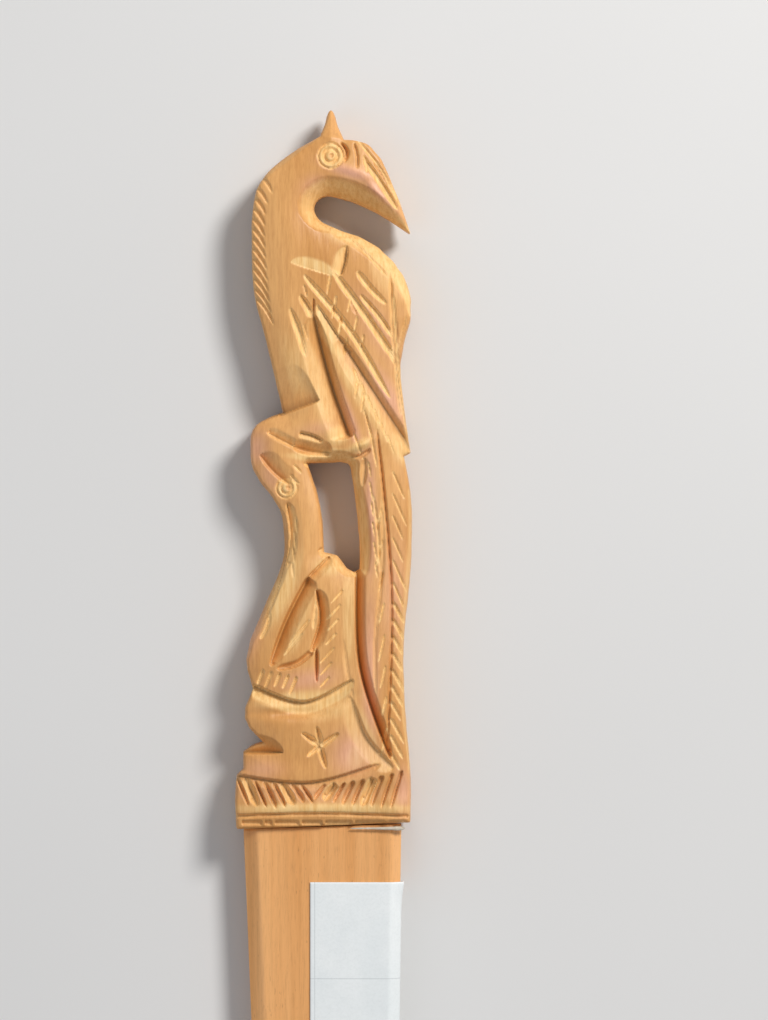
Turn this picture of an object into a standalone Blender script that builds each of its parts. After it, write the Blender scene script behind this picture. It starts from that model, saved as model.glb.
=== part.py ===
"""A carved wooden paper knife: pierced bird handle, flat blade, glue bead and paper label.

The knife lies on its back. X runs across it, Y along it towards the crest, Z up through its thickness.
The origin is the middle of the shoulder, where the blade leaves the handle, on the surface it rests on.
Places are written in millimetres and turned into metres with MM.
"""

import math

import bmesh
import bpy
from mathutils import Vector

MM = 0.001

# Driving dimensions, in millimetres
HANDLE_THICKNESS = 9.0
BLADE_ROOT_THICKNESS = 4.5
BLADE_TIP_THICKNESS = 3.0
BLADE_LENGTH = 108.0
BLADE_EDGE_HALF_FLAT = 0.6
ROOT_LEFT = -12.0
ROOT_RIGHT = 11.7
LEFT_TAPER = 0.04
RIGHT_TAPER = 0.015
LEFT_BEVEL = 2.1
RIGHT_BEVEL = 1.4
TANG_WIDTH = 12.0
TANG_THICKNESS = 3.2
TANG_LENGTH = 16.0
SHOULDER_MIDDLE = 0.4
SHOULDER_SLOPE = 0.03
GAP = 0.3
LABEL_LEFT = -2.0
LABEL_TOP = -8.0
LABEL_LENGTH = 38.0
LABEL_BACK_FLAP = 7.0
LABEL_GAP = 0.15
LABEL_THICKNESS = 0.15

MIDDLE = HANDLE_THICKNESS / 2
TOP = HANDLE_THICKNESS
BLADE_TOP = MIDDLE + BLADE_ROOT_THICKNESS / 2
EDGE_DROP = BLADE_ROOT_THICKNESS / 2 - BLADE_EDGE_HALF_FLAT
STRAIGHT_END = -50.0
BEVEL_START = 4.0
TANG_OVERLAP = 2.0
POINT_START = -80.0
POINT_WIDTHS = [(-95.0, 7.0), (-106.5, 2.5)]
CHIP_OVERSHOOT = 1.3
OUTLINE_STEPS = 3
CHAMFER_OVERRUN = 0.15
CHAMFER_SHIFT = 0.23
WELD = 0.01
ROUND = "round"
CORNER = "corner"

# The handle's outline, clockwise from the left end of the collar, seen from the front. Each landmark has its
# kind and the bulge of the arc that follows it; a positive bulge is on the left of the direction of travel.
COLLAR_LEFT = [(-13.0, 0.0, CORNER, 0.2), (-13.0, 8.0, CORNER, 0.0), (-12.0, 9.0, CORNER, 0.0),
               (-12.0, 11.5, CORNER, 0.2)]
WAIST_LEFT = [(-9.0, 13.0, CORNER, 2.0), (-10.5, 21.0, CORNER, 0.0)]
LOWER_BODY_LEFT = [(-11.5, 25.5, ROUND, 0.2), (-6.0, 40.5, ROUND, -0.4), (-6.5, 48.0, ROUND, 0.0)]
LOWER_HEAD_LEFT = [(-10.5, 54.0, ROUND, 0.4), (-10.5, 60.0, ROUND, 0.4), (-6.0, 62.5, CORNER, 0.0)]
BREAST_LEFT = [(-9.0, 75.0, ROUND, 0.2), (-10.5, 82.0, ROUND, 0.2), (-10.5, 93.5, ROUND, 0.0)]
HEAD_LEFT = [(-9.5, 97.0, ROUND, 0.7), (-0.5, 104.0, CORNER, -0.1)]
CREST = [(0.8, 107.7, ROUND, 0.3), (1.4, 107.7, ROUND, -0.1), (3.0, 103.5, CORNER, 0.3)]
BEAK_TOP = [(7.0, 102.5, ROUND, 0.6), (13.0, 89.5, CORNER, -0.6)]
THROAT = [(2.0, 95.0, ROUND, -0.9), (-1.5, 93.5, ROUND, -0.4), (0.0, 91.0, ROUND, 2.5)]
WING_RIGHT = [(13.0, 80.0, ROUND, 0.0), (11.5, 70.0, ROUND, -0.2), (13.0, 56.5, CORNER, 0.0)]
TAIL_RIGHT = [
    (12.0, 56.0, CORNER, 0.0), (13.0, 50.5, ROUND, 0.2), (13.0, 38.5, ROUND, 0.0),
    (12.0, 28.0, ROUND, -0.3), (13.0, 8.0, ROUND, 0.0), (13.0, 1.0, CORNER, 0.0),
]
HANDLE_LANDMARKS = (
    COLLAR_LEFT + WAIST_LEFT + LOWER_BODY_LEFT + LOWER_HEAD_LEFT + BREAST_LEFT + HEAD_LEFT
    + CREST + BEAK_TOP + THROAT + WING_RIGHT + TAIL_RIGHT
)

# The window between the lower bird's neck and the tail, also clockwise
WINDOW_LANDMARKS = [
    (-2.5, 55.0, CORNER, 0.1), (3.5, 55.0, ROUND, 0.2), (4.2, 54.0, ROUND, 0.0), (5.5, 43.0, ROUND, 0.0),
    (5.5, 39.0, CORNER, 0.0), (4.5, 38.5, ROUND, 0.0), (2.0, 41.0, CORNER, 0.0), (0.0, 41.5, CORNER, -0.7),
]

# Grooves: start, end, bulge, half width and depth
GROOVES = {
    "leg_and_wing": ((-1.5, 77.0), (5.0, 58.5), -0.3, 0.6, 1.3),
    "wing_lower_edge": ((1.0, 77.0), (13.5, 56.5), 0.2, 0.4, 0.8),
    "wing_feather_1": ((-2.5, 83.0), (6.5, 71.0), 0.3, 0.45, 0.6),
    "wing_feather_2": ((1.5, 83.5), (10.5, 71.0), 0.3, 0.45, 0.6),
    "wing_feather_3": ((4.5, 83.5), (9.0, 78.5), 0.2, 0.4, 0.5),
    "wing_feather_4": ((5.5, 80.5), (10.0, 75.0), 0.2, 0.4, 0.5),
    "wing_edge_inner": ((10.0, 84.5), (11.5, 60.5), -0.2, 0.3, 0.5),
    "tail_shaft": ((8.5, 59.5), (9.5, 11.5), 1.1, 0.3, 0.6),
    "tail_side": ((4.5, 39.5), (10.0, 9.5), -1.7, 0.75, 1.7),
    "mouth": ((-8.5, 59.0), (1.0, 55.5), 0.2, 0.4, 0.6),
    "cheek": ((-9.5, 56.5), (-4.5, 51.0), 0.2, 0.35, 0.5),
    "lower_neck": ((-5.0, 49.0), (-6.0, 39.5), 1.4, 0.45, 0.6),
    "small_wing_left": ((0.5, 40.5), (-8.5, 24.0), -0.3, 0.6, 0.9),
    "small_wing_right": ((-1.0, 37.0), (-7.0, 24.0), 3.5, 0.6, 1.0),
    "small_wing_slit": ((-1.0, 27.5), (-1.0, 22.0), 0.2, 0.4, 1.0),
    "saddle_upper": ((-10.5, 21.5), (4.0, 23.0), -3.0, 0.6, 0.9),
    "saddle_lower": ((-11.0, 18.5), (3.5, 22.0), -2.5, 0.5, 0.7),
    "rib": ((4.5, 21.0), (9.5, 9.0), -1.4, 0.4, 0.6),
    "collar_top": ((-12.5, 7.5), (8.5, 9.5), -1.6, 0.3, 0.5),
    "collar_bottom": ((-13.5, 1.5), (12.5, 2.0), 0.3, 0.35, 0.5),
}

# Chips: three corners on the surface and the deepest point below them
CHIPS = {
    "chest": ([(1.0, 85.0), (3.0, 87.5), (3.0, 83.0)], (2.5, 85.0), 0.9),
    "flank": ([(-6.5, 62.0), (-4.5, 71.0), (-0.5, 64.5)], (-4.5, 63.0), 1.2),
    "foot": ([(-4.5, 60.0), (1.5, 58.0), (0.5, 56.5)], (-0.5, 58.0), 0.9),
    "claw": ([(4.0, 58.0), (5.0, 55.5), (3.5, 55.5)], (4.0, 56.5), 1.2),
    "plinth_notch": ([(-10.0, 14.0), (-6.5, 11.5), (-10.0, 12.5)], (-9.0, 13.0), 2.0),
    "brow": ([(2.0, 103.0), (4.0, 101.0), (3.0, 100.0)], (3.0, 101.5), 0.5),
    "beak": ([(6.0, 101.5), (10.5, 94.0), (7.5, 100.0)], (7.5, 99.5), 0.6),
    "flame_1": ([(-5.0, 78.0), (-4.0, 77.5), (-3.5, 72.0)], (-4.2, 76.0), 0.7),
    "flame_2": ([(-3.5, 80.0), (-2.5, 79.0), (-1.5, 74.5)], (-2.5, 78.0), 0.7),
    "chest_leaf": ([(-5.0, 85.0), (1.0, 86.0), (1.5, 83.5)], (-0.5, 85.0), 0.8),
}

# Slopes: a hinge line on the front face, how far they run to its left and how deep they end
SLOPES = {
    "crest": ([(-1.5, 103.5), (3.5, 103.5)], 6.0, 2.8),
    "beak_tip": ([(12.5, 97.0), (7.5, 93.5)], 8.0, 1.8),
}
SLOPE_HEADROOM = 1.0

# Chamfers along an outline: first and last landmark, widths at the start, middle and end, and the depth
# for each width
HANDLE_CHAMFERS = {
    "head_back": ((-9.5, 97.0), (-0.5, 104.0), (0.3, 0.8, 0.2), 1.0),
    "beak": ((13.0, 89.5), (0.0, 91.0), (1.1, 2.5, 1.1), 0.9),
    "shoulder": ((0.0, 91.0), (13.0, 80.0), (0.8, 2.4, 0.7), 0.6),
    "lower_neck": ((-10.5, 21.0), (-6.5, 48.0), (0.4, 1.0, 0.4), 1.3),
    "tail": ((13.0, 50.5), (13.0, 8.0), (0.4, 0.8, 0.3), 0.6),
}
WINDOW_CHAMFERS = {
    "window_right": ((4.2, 54.0), (5.5, 39.0), (1.2, 1.6, 1.4), 1.9),
    "window_top": ((-2.5, 55.0), (4.2, 54.0), (1.0, 1.7, 1.0), 1.0),
    "window_foot": ((4.5, 38.5), (0.0, 41.5), (0.8, 1.3, 1.0), 0.8),
}

# Mane: notches that start on the back of the neck and slant inwards
MANE_COUNT = 13
MANE_TOP = 97.5
MANE_PITCH = 1.5
MANE_FIRST_REACH = 1.5
MANE_LAST_REACH = 2.7
MANE_LEAN = 1.4
MANE_WIDTH = 0.35
MANE_TIP_WIDTH = 0.03
MANE_DEPTH = 0.5
MANE_START = (-0.3, 0.4)

# Eyes: centre, ring radii and half width of the rings
EYES = {"upper": ((1.0, 101.0), (1.6, 0.85), 0.26), "lower": ((-5.5, 51.0), (1.35, 0.7), 0.22)}
EYE_RING_STRETCH = 1.3

# Star: wedges round a centre, each with its direction in degrees and its length
STAR_CENTRE = (-0.5, 12.5)
STAR_ARMS = [(35, 3.5), (100, 3.0), (145, 3.5), (220, 2.5), (285, 3.5)]
STAR_HALF_WIDTH = 0.5
STAR_DEPTH = 0.6

# Fringe: a row of strokes on each half of the collar, leaning towards the middle; every fourth one is wide
FRINGE_ROWS = [(-12.0, -4.0, 8, 1.4), (1.0, 11.0, 9, -1.3)]
FRINGE_TOP = 6.6
FRINGE_BOTTOM = 3.4
FRINGE_HALF_WIDTH = 0.35
FRINGE_WIDE = 0.6

# The row of small cells under the collar's lower groove: where it starts, and each cell's length
CELLS_START = -12.5
CELL_LENGTHS = [3.5, 1.5, 4.0, 3.5, 4.5, 5.0, 3.0]
CELL_MARGIN = 0.25
CELL_HEIGHT = 1.0
CELL_HALF_WIDTH = 0.3
CELL_DEPTH = 0.35

# Glue: x, y, z and radius of the squeezed-out line, from its thin end to the drop at the blade's corner
GLUE_LINE = [
    (4.0, 0.0, 7.1, 0.12), (6.5, 0.05, 7.15, 0.2), (9.2, 0.1, 7.2, 0.28), (10.6, 0.1, 7.2, 0.42),
    (11.6, 0.1, 6.5, 0.45), (12.1, 0.05, 5.9, 0.25),
]


def clear_scene():
    """Remove every object, so that the script can be run again."""
    for item in list(bpy.data.objects):
        bpy.data.objects.remove(item, do_unlink=True)


def new_collection(name):
    """Make a collection in the scene."""
    collection = bpy.data.collections.new(name)
    bpy.context.scene.collection.children.link(collection)
    return collection


def arc_middle(start, end, bulge):
    """The middle point of an arc from start to end; a positive bulge is on the left of the direction."""
    start, end = Vector(start), Vector(end)
    along = (end - start).normalized()
    middle = (start + end) / 2 + Vector((-along.y, along.x)) * bulge
    return middle.x, middle.y


def with_arcs(landmarks):
    """A closed outline from landmarks, with the middle point of each arc between them."""
    outline = []
    for (x, y, kind, bulge), ahead in zip(landmarks, landmarks[1:] + landmarks[:1]):
        outline.append((x, y, kind))
        if bulge:
            outline.append((*arc_middle((x, y), ahead[:2], bulge), ROUND))
    return outline


def stretch(outline, first, last):
    """The part of an outline from one landmark to another."""
    places = [point[:2] for point in outline]
    return outline[places.index(first):places.index(last) + 1]


def widths_along(count, widths):
    """Widths for a number of points, eased from the first through the middle to the last."""
    start, middle, end = widths
    result = []
    for index in range(count):
        share = index / (count - 1)
        straight = start + (end - start) * share
        result.append(straight + (middle - (start + end) / 2) * 4 * share * (1 - share))
    return result


def plain_material(name, colour, roughness):
    """A Principled BSDF with a colour and a roughness, not metallic."""
    material = bpy.data.materials.new(name)
    material.use_nodes = True
    shader = material.node_tree.nodes["Principled BSDF"]
    shader.inputs["Base Color"].default_value = (*colour, 1.0)
    shader.inputs["Roughness"].default_value = roughness
    shader.inputs["Metallic"].default_value = 0.0
    return material


def link_mesh(name, mesh, collection):
    """Put a mesh in a collection as a new object."""
    item = bpy.data.objects.new(name, mesh)
    collection.objects.link(item)
    return item


def as_mesh(curve_object, collection):
    """Turn a curve object into a mesh object of the same name, with its caps welded, and remove the curve."""
    depsgraph = bpy.context.evaluated_depsgraph_get()
    mesh = bpy.data.meshes.new_from_object(curve_object.evaluated_get(depsgraph))
    work = bmesh.new()
    work.from_mesh(mesh)
    bmesh.ops.remove_doubles(work, verts=work.verts, dist=1e-7)
    work.to_mesh(mesh)
    work.free()
    name = curve_object.name
    place = curve_object.matrix_world.copy()
    bpy.data.objects.remove(curve_object, do_unlink=True)
    item = link_mesh(name, mesh, collection)
    item.matrix_world = place
    return item


def add_bezier(curve, points, radii=None, closed=True):
    """Add a smooth spline through points; a corner point gets vector handles."""
    spline = curve.splines.new("BEZIER")
    spline.bezier_points.add(len(points) - 1)
    spline.use_cyclic_u = closed
    for index, point in enumerate(points):
        knot = spline.bezier_points[index]
        knot.co = (point[0] * MM, point[1] * MM, 0.0)
        handle = "VECTOR" if point[2:] == (CORNER,) else "AUTO"
        knot.handle_left_type = handle
        knot.handle_right_type = handle
        knot.radius = radii[index] if radii else 1.0


def board(name, outline, thickness, collection):
    """A flat board: an outline filled on both sides and extruded about the middle plane."""
    curve = bpy.data.curves.new(name, "CURVE")
    curve.dimensions = "2D"
    curve.fill_mode = "BOTH"
    curve.resolution_u = OUTLINE_STEPS
    curve.extrude = thickness / 2 * MM
    add_bezier(curve, outline)
    item = bpy.data.objects.new(name, curve)
    item.location.z = MIDDLE * MM
    collection.objects.link(item)
    bpy.context.view_layer.update()
    return as_mesh(item, collection)


def keep_as_cutter(item):
    """Mark an object as a cutter, which isn't part of the knife."""
    item.hide_render = True
    item.display_type = "WIRE"
    return item


def vee_cutter(name, points, radii, depth, height, cutters, resolution=1):
    """A tube with a diamond section along points: it cuts a V that is one radius wide each side."""
    curve = bpy.data.curves.new(name, "CURVE")
    curve.dimensions = "2D"
    curve.resolution_u = resolution
    curve.bevel_depth = MM
    curve.bevel_resolution = 0
    curve.use_fill_caps = True
    add_bezier(curve, points, radii, closed=False)
    item = bpy.data.objects.new(name, curve)
    item.location.z = height * MM
    item.scale.z = depth / max(radii)
    cutters.objects.link(item)
    bpy.context.view_layer.update()
    return keep_as_cutter(as_mesh(item, cutters))


def groove(name, start, end, bulge, half_width, depth, cutters):
    """A groove in the front face, along an arc, that runs out at both ends."""
    points = [start, arc_middle(start, end, bulge), end]
    radii = [0.1 * half_width, half_width, 0.1 * half_width]
    return vee_cutter(name, points, radii, depth, TOP, cutters)


def chamfer(name, points, widths, steepness, height, cutters):
    """Take off the front edge along part of an outline; the air is on the left of the direction."""
    path = []
    for index, point in enumerate(points):
        before = Vector(points[max(index - 1, 0)][:2])
        after = Vector(points[min(index + 1, len(points) - 1)][:2])
        along = (after - before).normalized()
        outwards = Vector((-along.y, along.x)) * CHAMFER_OVERRUN
        place = Vector(point[:2]) + outwards + along * CHAMFER_SHIFT
        path.append((place.x, place.y, *point[2:]))
    radii = [width + CHAMFER_OVERRUN for width in widths]
    depth = steepness * max(radii)
    return vee_cutter(name, path, radii, depth, height, cutters, resolution=OUTLINE_STEPS)


def chip(name, corners, deepest, depth, cutters):
    """A chip-carved pit: a pyramid through the corners on the front face, its tip at the deepest point."""
    tip = Vector((deepest[0] * MM, deepest[1] * MM, (TOP - depth) * MM))
    work = bmesh.new()
    work.verts.new(tip)
    for corner in corners:
        on_face = Vector((corner[0] * MM, corner[1] * MM, TOP * MM))
        work.verts.new(tip + (on_face - tip) * CHIP_OVERSHOOT)
    bmesh.ops.convex_hull(work, input=work.verts)
    mesh = bpy.data.meshes.new(name)
    work.to_mesh(mesh)
    work.free()
    return keep_as_cutter(link_mesh(name, mesh, cutters))


def slope(name, hinge, run, depth, cutters):
    """A wedge whose lower face starts at a hinge line on the front face and goes down on its left side."""
    start, end = (Vector((x, y)) for x, y in hinge)
    along = (end - start).normalized()
    across = Vector((-along.y, along.x)) * run
    work = bmesh.new()
    for corner, low in ((start, TOP), (end, TOP), (start + across, TOP - depth), (end + across, TOP - depth)):
        for height in (low, TOP + SLOPE_HEADROOM):
            work.verts.new((corner.x * MM, corner.y * MM, height * MM))
    bmesh.ops.convex_hull(work, input=work.verts)
    mesh = bpy.data.meshes.new(name)
    work.to_mesh(mesh)
    work.free()
    return keep_as_cutter(link_mesh(name, mesh, cutters))


def eye_rings(name, centre, ring_radii, half_width, cutters):
    """Ring grooves round an eye, each cut by a torus with a diamond section."""
    for index, radius in enumerate(ring_radii):
        bpy.ops.mesh.primitive_torus_add(
            major_segments=14,
            minor_segments=4,
            major_radius=radius * MM,
            minor_radius=half_width * MM,
            location=(centre[0] * MM, centre[1] * MM, TOP * MM),
        )
        ring = bpy.context.active_object
        ring.name = f"{name}_eye_ring_{index}"
        ring.scale.z = EYE_RING_STRETCH
        move_to(ring, cutters)
        keep_as_cutter(ring)


def move_to(item, collection):
    """Move an object from the collection that an operator put it in to another."""
    for owner in item.users_collection:
        owner.objects.unlink(item)
    collection.objects.link(item)


def cut_front(outline, window, cutters):
    """Every cutter of the carved front face."""
    for name, (start, end, bulge, half_width, depth) in GROOVES.items():
        groove(f"groove_{name}", start, end, bulge, half_width, depth, cutters)
    for name, (corners, deepest, depth) in CHIPS.items():
        chip(f"chip_{name}", corners, deepest, depth, cutters)
    for name, (hinge, run, depth) in SLOPES.items():
        slope(f"slope_{name}", hinge, run, depth, cutters)
    for name, (first, last, widths, steepness) in HANDLE_CHAMFERS.items():
        edge = stretch(outline, first, last)
        chamfer(f"chamfer_{name}", edge, widths_along(len(edge), widths), steepness, TOP, cutters)
    for name, (first, last, widths, steepness) in WINDOW_CHAMFERS.items():
        edge = stretch(window, first, last)[::-1]
        chamfer(f"chamfer_{name}", edge, widths_along(len(edge), widths[::-1]), steepness, TOP, cutters)
    for name, (centre, radii, half_width) in EYES.items():
        eye_rings(name, centre, radii, half_width, cutters)
    cut_star(cutters)
    cut_fringe(cutters)
    cut_cells(cutters)
    cut_mane(outline, cutters)


def cut_star(cutters):
    """The star's wedges, all from its centre."""
    for index, (degrees, length) in enumerate(STAR_ARMS):
        angle = math.radians(degrees)
        tip = (STAR_CENTRE[0] + length * math.cos(angle), STAR_CENTRE[1] + length * math.sin(angle))
        groove(f"star_arm_{index}", STAR_CENTRE, tip, 0.0, STAR_HALF_WIDTH, STAR_DEPTH, cutters)


def cut_fringe(cutters):
    """The slanting strokes between the collar's two grooves."""
    for row, (first, last, count, lean) in enumerate(FRINGE_ROWS):
        for index in range(count):
            x = first + (last - first) * index / (count - 1)
            half_width = FRINGE_WIDE if index % 4 == 1 else FRINGE_HALF_WIDTH
            start, end = (x - lean / 2, FRINGE_TOP), (x + lean / 2, FRINGE_BOTTOM)
            groove(f"fringe_{row}_{index}", start, end, 0.0, half_width, half_width, cutters)


def cut_cells(cutters):
    """The row of small cells along the collar's lower end."""
    left = CELLS_START
    for index, length in enumerate(CELL_LENGTHS):
        start, end = (left + CELL_MARGIN, CELL_HEIGHT), (left + length - CELL_MARGIN, CELL_HEIGHT)
        groove(f"cell_{index}", start, end, 0.0, CELL_HALF_WIDTH, CELL_DEPTH, cutters)
        left += length


def neck_edge(neck, y):
    """How far left the back of the neck lies at a height, along straight lines between outline points."""
    for low, high in zip(neck, neck[1:]):
        if low[1] <= y <= high[1]:
            share = (y - low[1]) / (high[1] - low[1])
            return low[0] + share * (high[0] - low[0])
    return neck[0][0]


def cut_mane(outline, cutters):
    """The slanting notches down the back of the neck."""
    neck = stretch(outline, BREAST_LEFT[0][:2], HEAD_LEFT[1][:2])
    for index in range(MANE_COUNT):
        y = MANE_TOP - index * MANE_PITCH
        reach = MANE_FIRST_REACH + (MANE_LAST_REACH - MANE_FIRST_REACH) * index / (MANE_COUNT - 1)
        x = neck_edge(neck, y)
        points = [(x + MANE_START[0], y + MANE_START[1]), (x + reach, y - MANE_LEAN * reach)]
        vee_cutter(f"mane_{index}", points, [MANE_WIDTH, MANE_TIP_WIDTH], MANE_DEPTH, TOP, cutters)


def subtract(item, cutters):
    """Cut everything in a collection from an object."""
    modifier = item.modifiers.new("carving", "BOOLEAN")
    modifier.operation = "DIFFERENCE"
    modifier.operand_type = "COLLECTION"
    modifier.collection = cutters
    modifier.solver = "EXACT"
    modifier.use_self = True


def same_on_both_faces(item):
    """Keep the front half of a board and mirror it, so that both faces are carved alike."""
    modifier = item.modifiers.new("both_faces", "MIRROR")
    modifier.use_axis = (False, False, True)
    modifier.use_bisect_axis = (False, False, True)
    modifier.merge_threshold = WELD * MM
    modifier.bisect_threshold = WELD * MM
    weld = item.modifiers.new("close_points", "WELD")
    weld.merge_threshold = WELD * MM


def add_boolean(item, other, operation):
    """Join another object to this one, or cut it out of this one."""
    modifier = item.modifiers.new(other.name, "BOOLEAN")
    modifier.operation = operation
    modifier.object = other
    modifier.solver = "EXACT"


def box(name, low, high, collection):
    """A box between two corners, from the cube primitive with its scale applied to the mesh."""
    size = [b - a for a, b in zip(low, high)]
    centre = [(a + b) / 2 for a, b in zip(low, high)]
    bpy.ops.mesh.primitive_cube_add(size=MM, location=[value * MM for value in centre])
    item = bpy.context.active_object
    item.name = name
    item.scale = size
    bpy.ops.object.transform_apply(location=False, rotation=False, scale=True)
    move_to(item, collection)
    return item


def tang_box(name, clearance, collection):
    """The tang's shape, or its socket's when it has a clearance."""
    low = (-TANG_WIDTH / 2 - clearance, -TANG_OVERLAP, MIDDLE - TANG_THICKNESS / 2 - clearance)
    high = (TANG_WIDTH / 2 + clearance, TANG_LENGTH + clearance, MIDDLE + TANG_THICKNESS / 2 + clearance)
    return box(name, low, high, collection)


def make_handle(parts):
    """The carved board, with the tang's socket in its lower end."""
    outline = with_arcs(HANDLE_LANDMARKS)
    window = with_arcs(WINDOW_LANDMARKS)
    handle = board("carved_handle", outline, HANDLE_THICKNESS, parts)
    cutters = new_collection("handle_cutters")
    cut_front(outline, window, cutters)
    keep_as_cutter(board("window", window, 2 * HANDLE_THICKNESS, cutters))
    keep_as_cutter(tang_box("tang_socket", GAP, cutters))
    subtract(handle, cutters)
    same_on_both_faces(handle)
    handle.data.materials.append(plain_material("handle_wood", (0.66, 0.37, 0.16), 0.5))


def shoulder_line(x):
    """The collar's lower end, which slants a little."""
    return SHOULDER_MIDDLE + SHOULDER_SLOPE * x


def blade_left(y):
    """The blade's left edge."""
    return ROOT_LEFT - LEFT_TAPER * y


def blade_right(y):
    """The blade's right edge."""
    return ROOT_RIGHT + RIGHT_TAPER * y


def thin_to_tip(mesh):
    """Squeeze a mesh about the middle plane, evenly less thick from the shoulder to the tip."""
    loss = 1 - BLADE_TIP_THICKNESS / BLADE_ROOT_THICKNESS
    for vertex in mesh.vertices:
        share = max(0.0, -vertex.co.y / (BLADE_LENGTH * MM))
        vertex.co.z *= 1 - loss * share


def blade_outline():
    """The blade's outline: straight, slightly tapered sides and a rounded point."""
    tip_x = (blade_left(POINT_START) + blade_right(POINT_START)) / 2
    right_side = [(tip_x + half, y, ROUND) for y, half in POINT_WIDTHS]
    left_side = [(tip_x - half, y, ROUND) for y, half in reversed(POINT_WIDTHS)]
    point = [*right_side, (tip_x, -BLADE_LENGTH, ROUND), *left_side]
    return [
        (ROOT_LEFT, shoulder_line(ROOT_LEFT) - GAP, CORNER),
        (ROOT_RIGHT, shoulder_line(ROOT_RIGHT) - GAP, CORNER),
        (blade_right(STRAIGHT_END), STRAIGHT_END, CORNER),
        (blade_right(POINT_START), POINT_START, ROUND),
        *point,
        (blade_left(POINT_START), POINT_START, ROUND),
        (blade_left(STRAIGHT_END), STRAIGHT_END, CORNER),
    ]


def make_blade(parts, tools):
    """The flat blade with bevelled edges, thinner towards its rounded point, and its tang."""
    outline = blade_outline()
    blade = board("blade", outline, BLADE_ROOT_THICKNESS, parts)
    cutters = new_collection("blade_cutters")
    tip = [point[1] for point in outline].index(-BLADE_LENGTH)
    right_edge = [(blade_right(BEVEL_START), BEVEL_START, CORNER), *outline[2:tip + 1]]
    left_edge = [*outline[tip:], (blade_left(BEVEL_START), BEVEL_START, CORNER)]
    for name, edge, width in (("right", right_edge, RIGHT_BEVEL), ("left", left_edge, LEFT_BEVEL)):
        widths = [width] * len(edge)
        chamfer(f"blade_bevel_{name}", edge, widths, EDGE_DROP / width, BLADE_TOP, cutters)
    subtract(blade, cutters)
    same_on_both_faces(blade)
    blade = apply_modifiers(blade)
    thin_to_tip(blade.data)
    tang = keep_as_cutter(tang_box("tang", 0.0, tools))
    add_boolean(blade, tang, "UNION")
    blade.data.materials.append(plain_material("blade_wood", (0.74, 0.38, 0.16), 0.4))


def apply_modifiers(item):
    """Give an object its evaluated mesh and no modifiers."""
    depsgraph = bpy.context.evaluated_depsgraph_get()
    mesh = bpy.data.meshes.new_from_object(item.evaluated_get(depsgraph))
    item.modifiers.clear()
    item.data = mesh
    return item


def make_glue_bead(parts):
    """Glue squeezed out of the joint: a thin line along the collar that ends in a drop at the right."""
    curve = bpy.data.curves.new("glue_bead", "CURVE")
    curve.dimensions = "3D"
    curve.resolution_u = 3
    curve.bevel_depth = MM
    curve.bevel_resolution = 2
    curve.use_fill_caps = True
    places = [(x, y) for x, y, _, _ in GLUE_LINE]
    radii = [radius for *_, radius in GLUE_LINE]
    add_bezier(curve, places, radii, closed=False)
    for knot, (_, _, z, _) in zip(curve.splines[0].bezier_points, GLUE_LINE):
        knot.co.z = z * MM
    item = bpy.data.objects.new("glue_bead", curve)
    parts.objects.link(item)
    bpy.context.view_layer.update()
    bead = as_mesh(item, parts)
    bead.data.materials.append(plain_material("clear_glue", (0.62, 0.58, 0.5), 0.2))


def make_label(parts):
    """The label: a sheet over the blade's front, round its right bevels and onto its back."""
    half = BLADE_ROOT_THICKNESS / 2
    work = bmesh.new()
    rows = []
    for y in (LABEL_TOP, LABEL_TOP - LABEL_LENGTH):
        right = blade_right(y)
        section = [
            (LABEL_LEFT, half), (right - RIGHT_BEVEL, half), (right, BLADE_EDGE_HALF_FLAT),
            (right, -BLADE_EDGE_HALF_FLAT), (right - RIGHT_BEVEL, -half),
            (right - RIGHT_BEVEL - LABEL_BACK_FLAP, -half),
        ]
        rows.append([work.verts.new((x * MM, y * MM, z * MM)) for x, z in section])
    for index in range(len(rows[0]) - 1):
        work.faces.new((rows[0][index], rows[1][index], rows[1][index + 1], rows[0][index + 1]))
    mesh = bpy.data.meshes.new("paper_label")
    work.to_mesh(mesh)
    work.free()
    thin_to_tip(mesh)
    label = link_mesh("paper_label", mesh, parts)
    label.location.z = MIDDLE * MM
    clear = label.modifiers.new("clear_of_blade", "DISPLACE")
    clear.strength = LABEL_GAP * MM
    clear.mid_level = 0.0
    sheet = label.modifiers.new("paper", "SOLIDIFY")
    sheet.thickness = LABEL_THICKNESS * MM
    sheet.offset = 1.0
    label.data.materials.append(plain_material("label_paper", (0.82, 0.86, 0.86), 0.6))


def main():
    """Build the knife."""
    clear_scene()
    parts = new_collection("paper_knife")
    tools = new_collection("tang_tools")
    make_handle(parts)
    make_blade(parts, tools)
    make_glue_bead(parts)
    make_label(parts)


main()
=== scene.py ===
"""The looks of a carved wooden paper knife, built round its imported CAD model.

X runs across the knife, Y along it towards the crest and Z up through its thickness. The origin is the
middle of the shoulder, where the blade leaves the handle, on the surface the knife lies on. Outlines and
heights come from the CAD nodes; strokes are placed in millimetres in that same frame.
"""

import math

import bmesh
import bpy
import numpy as np
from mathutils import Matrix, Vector, noise


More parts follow.
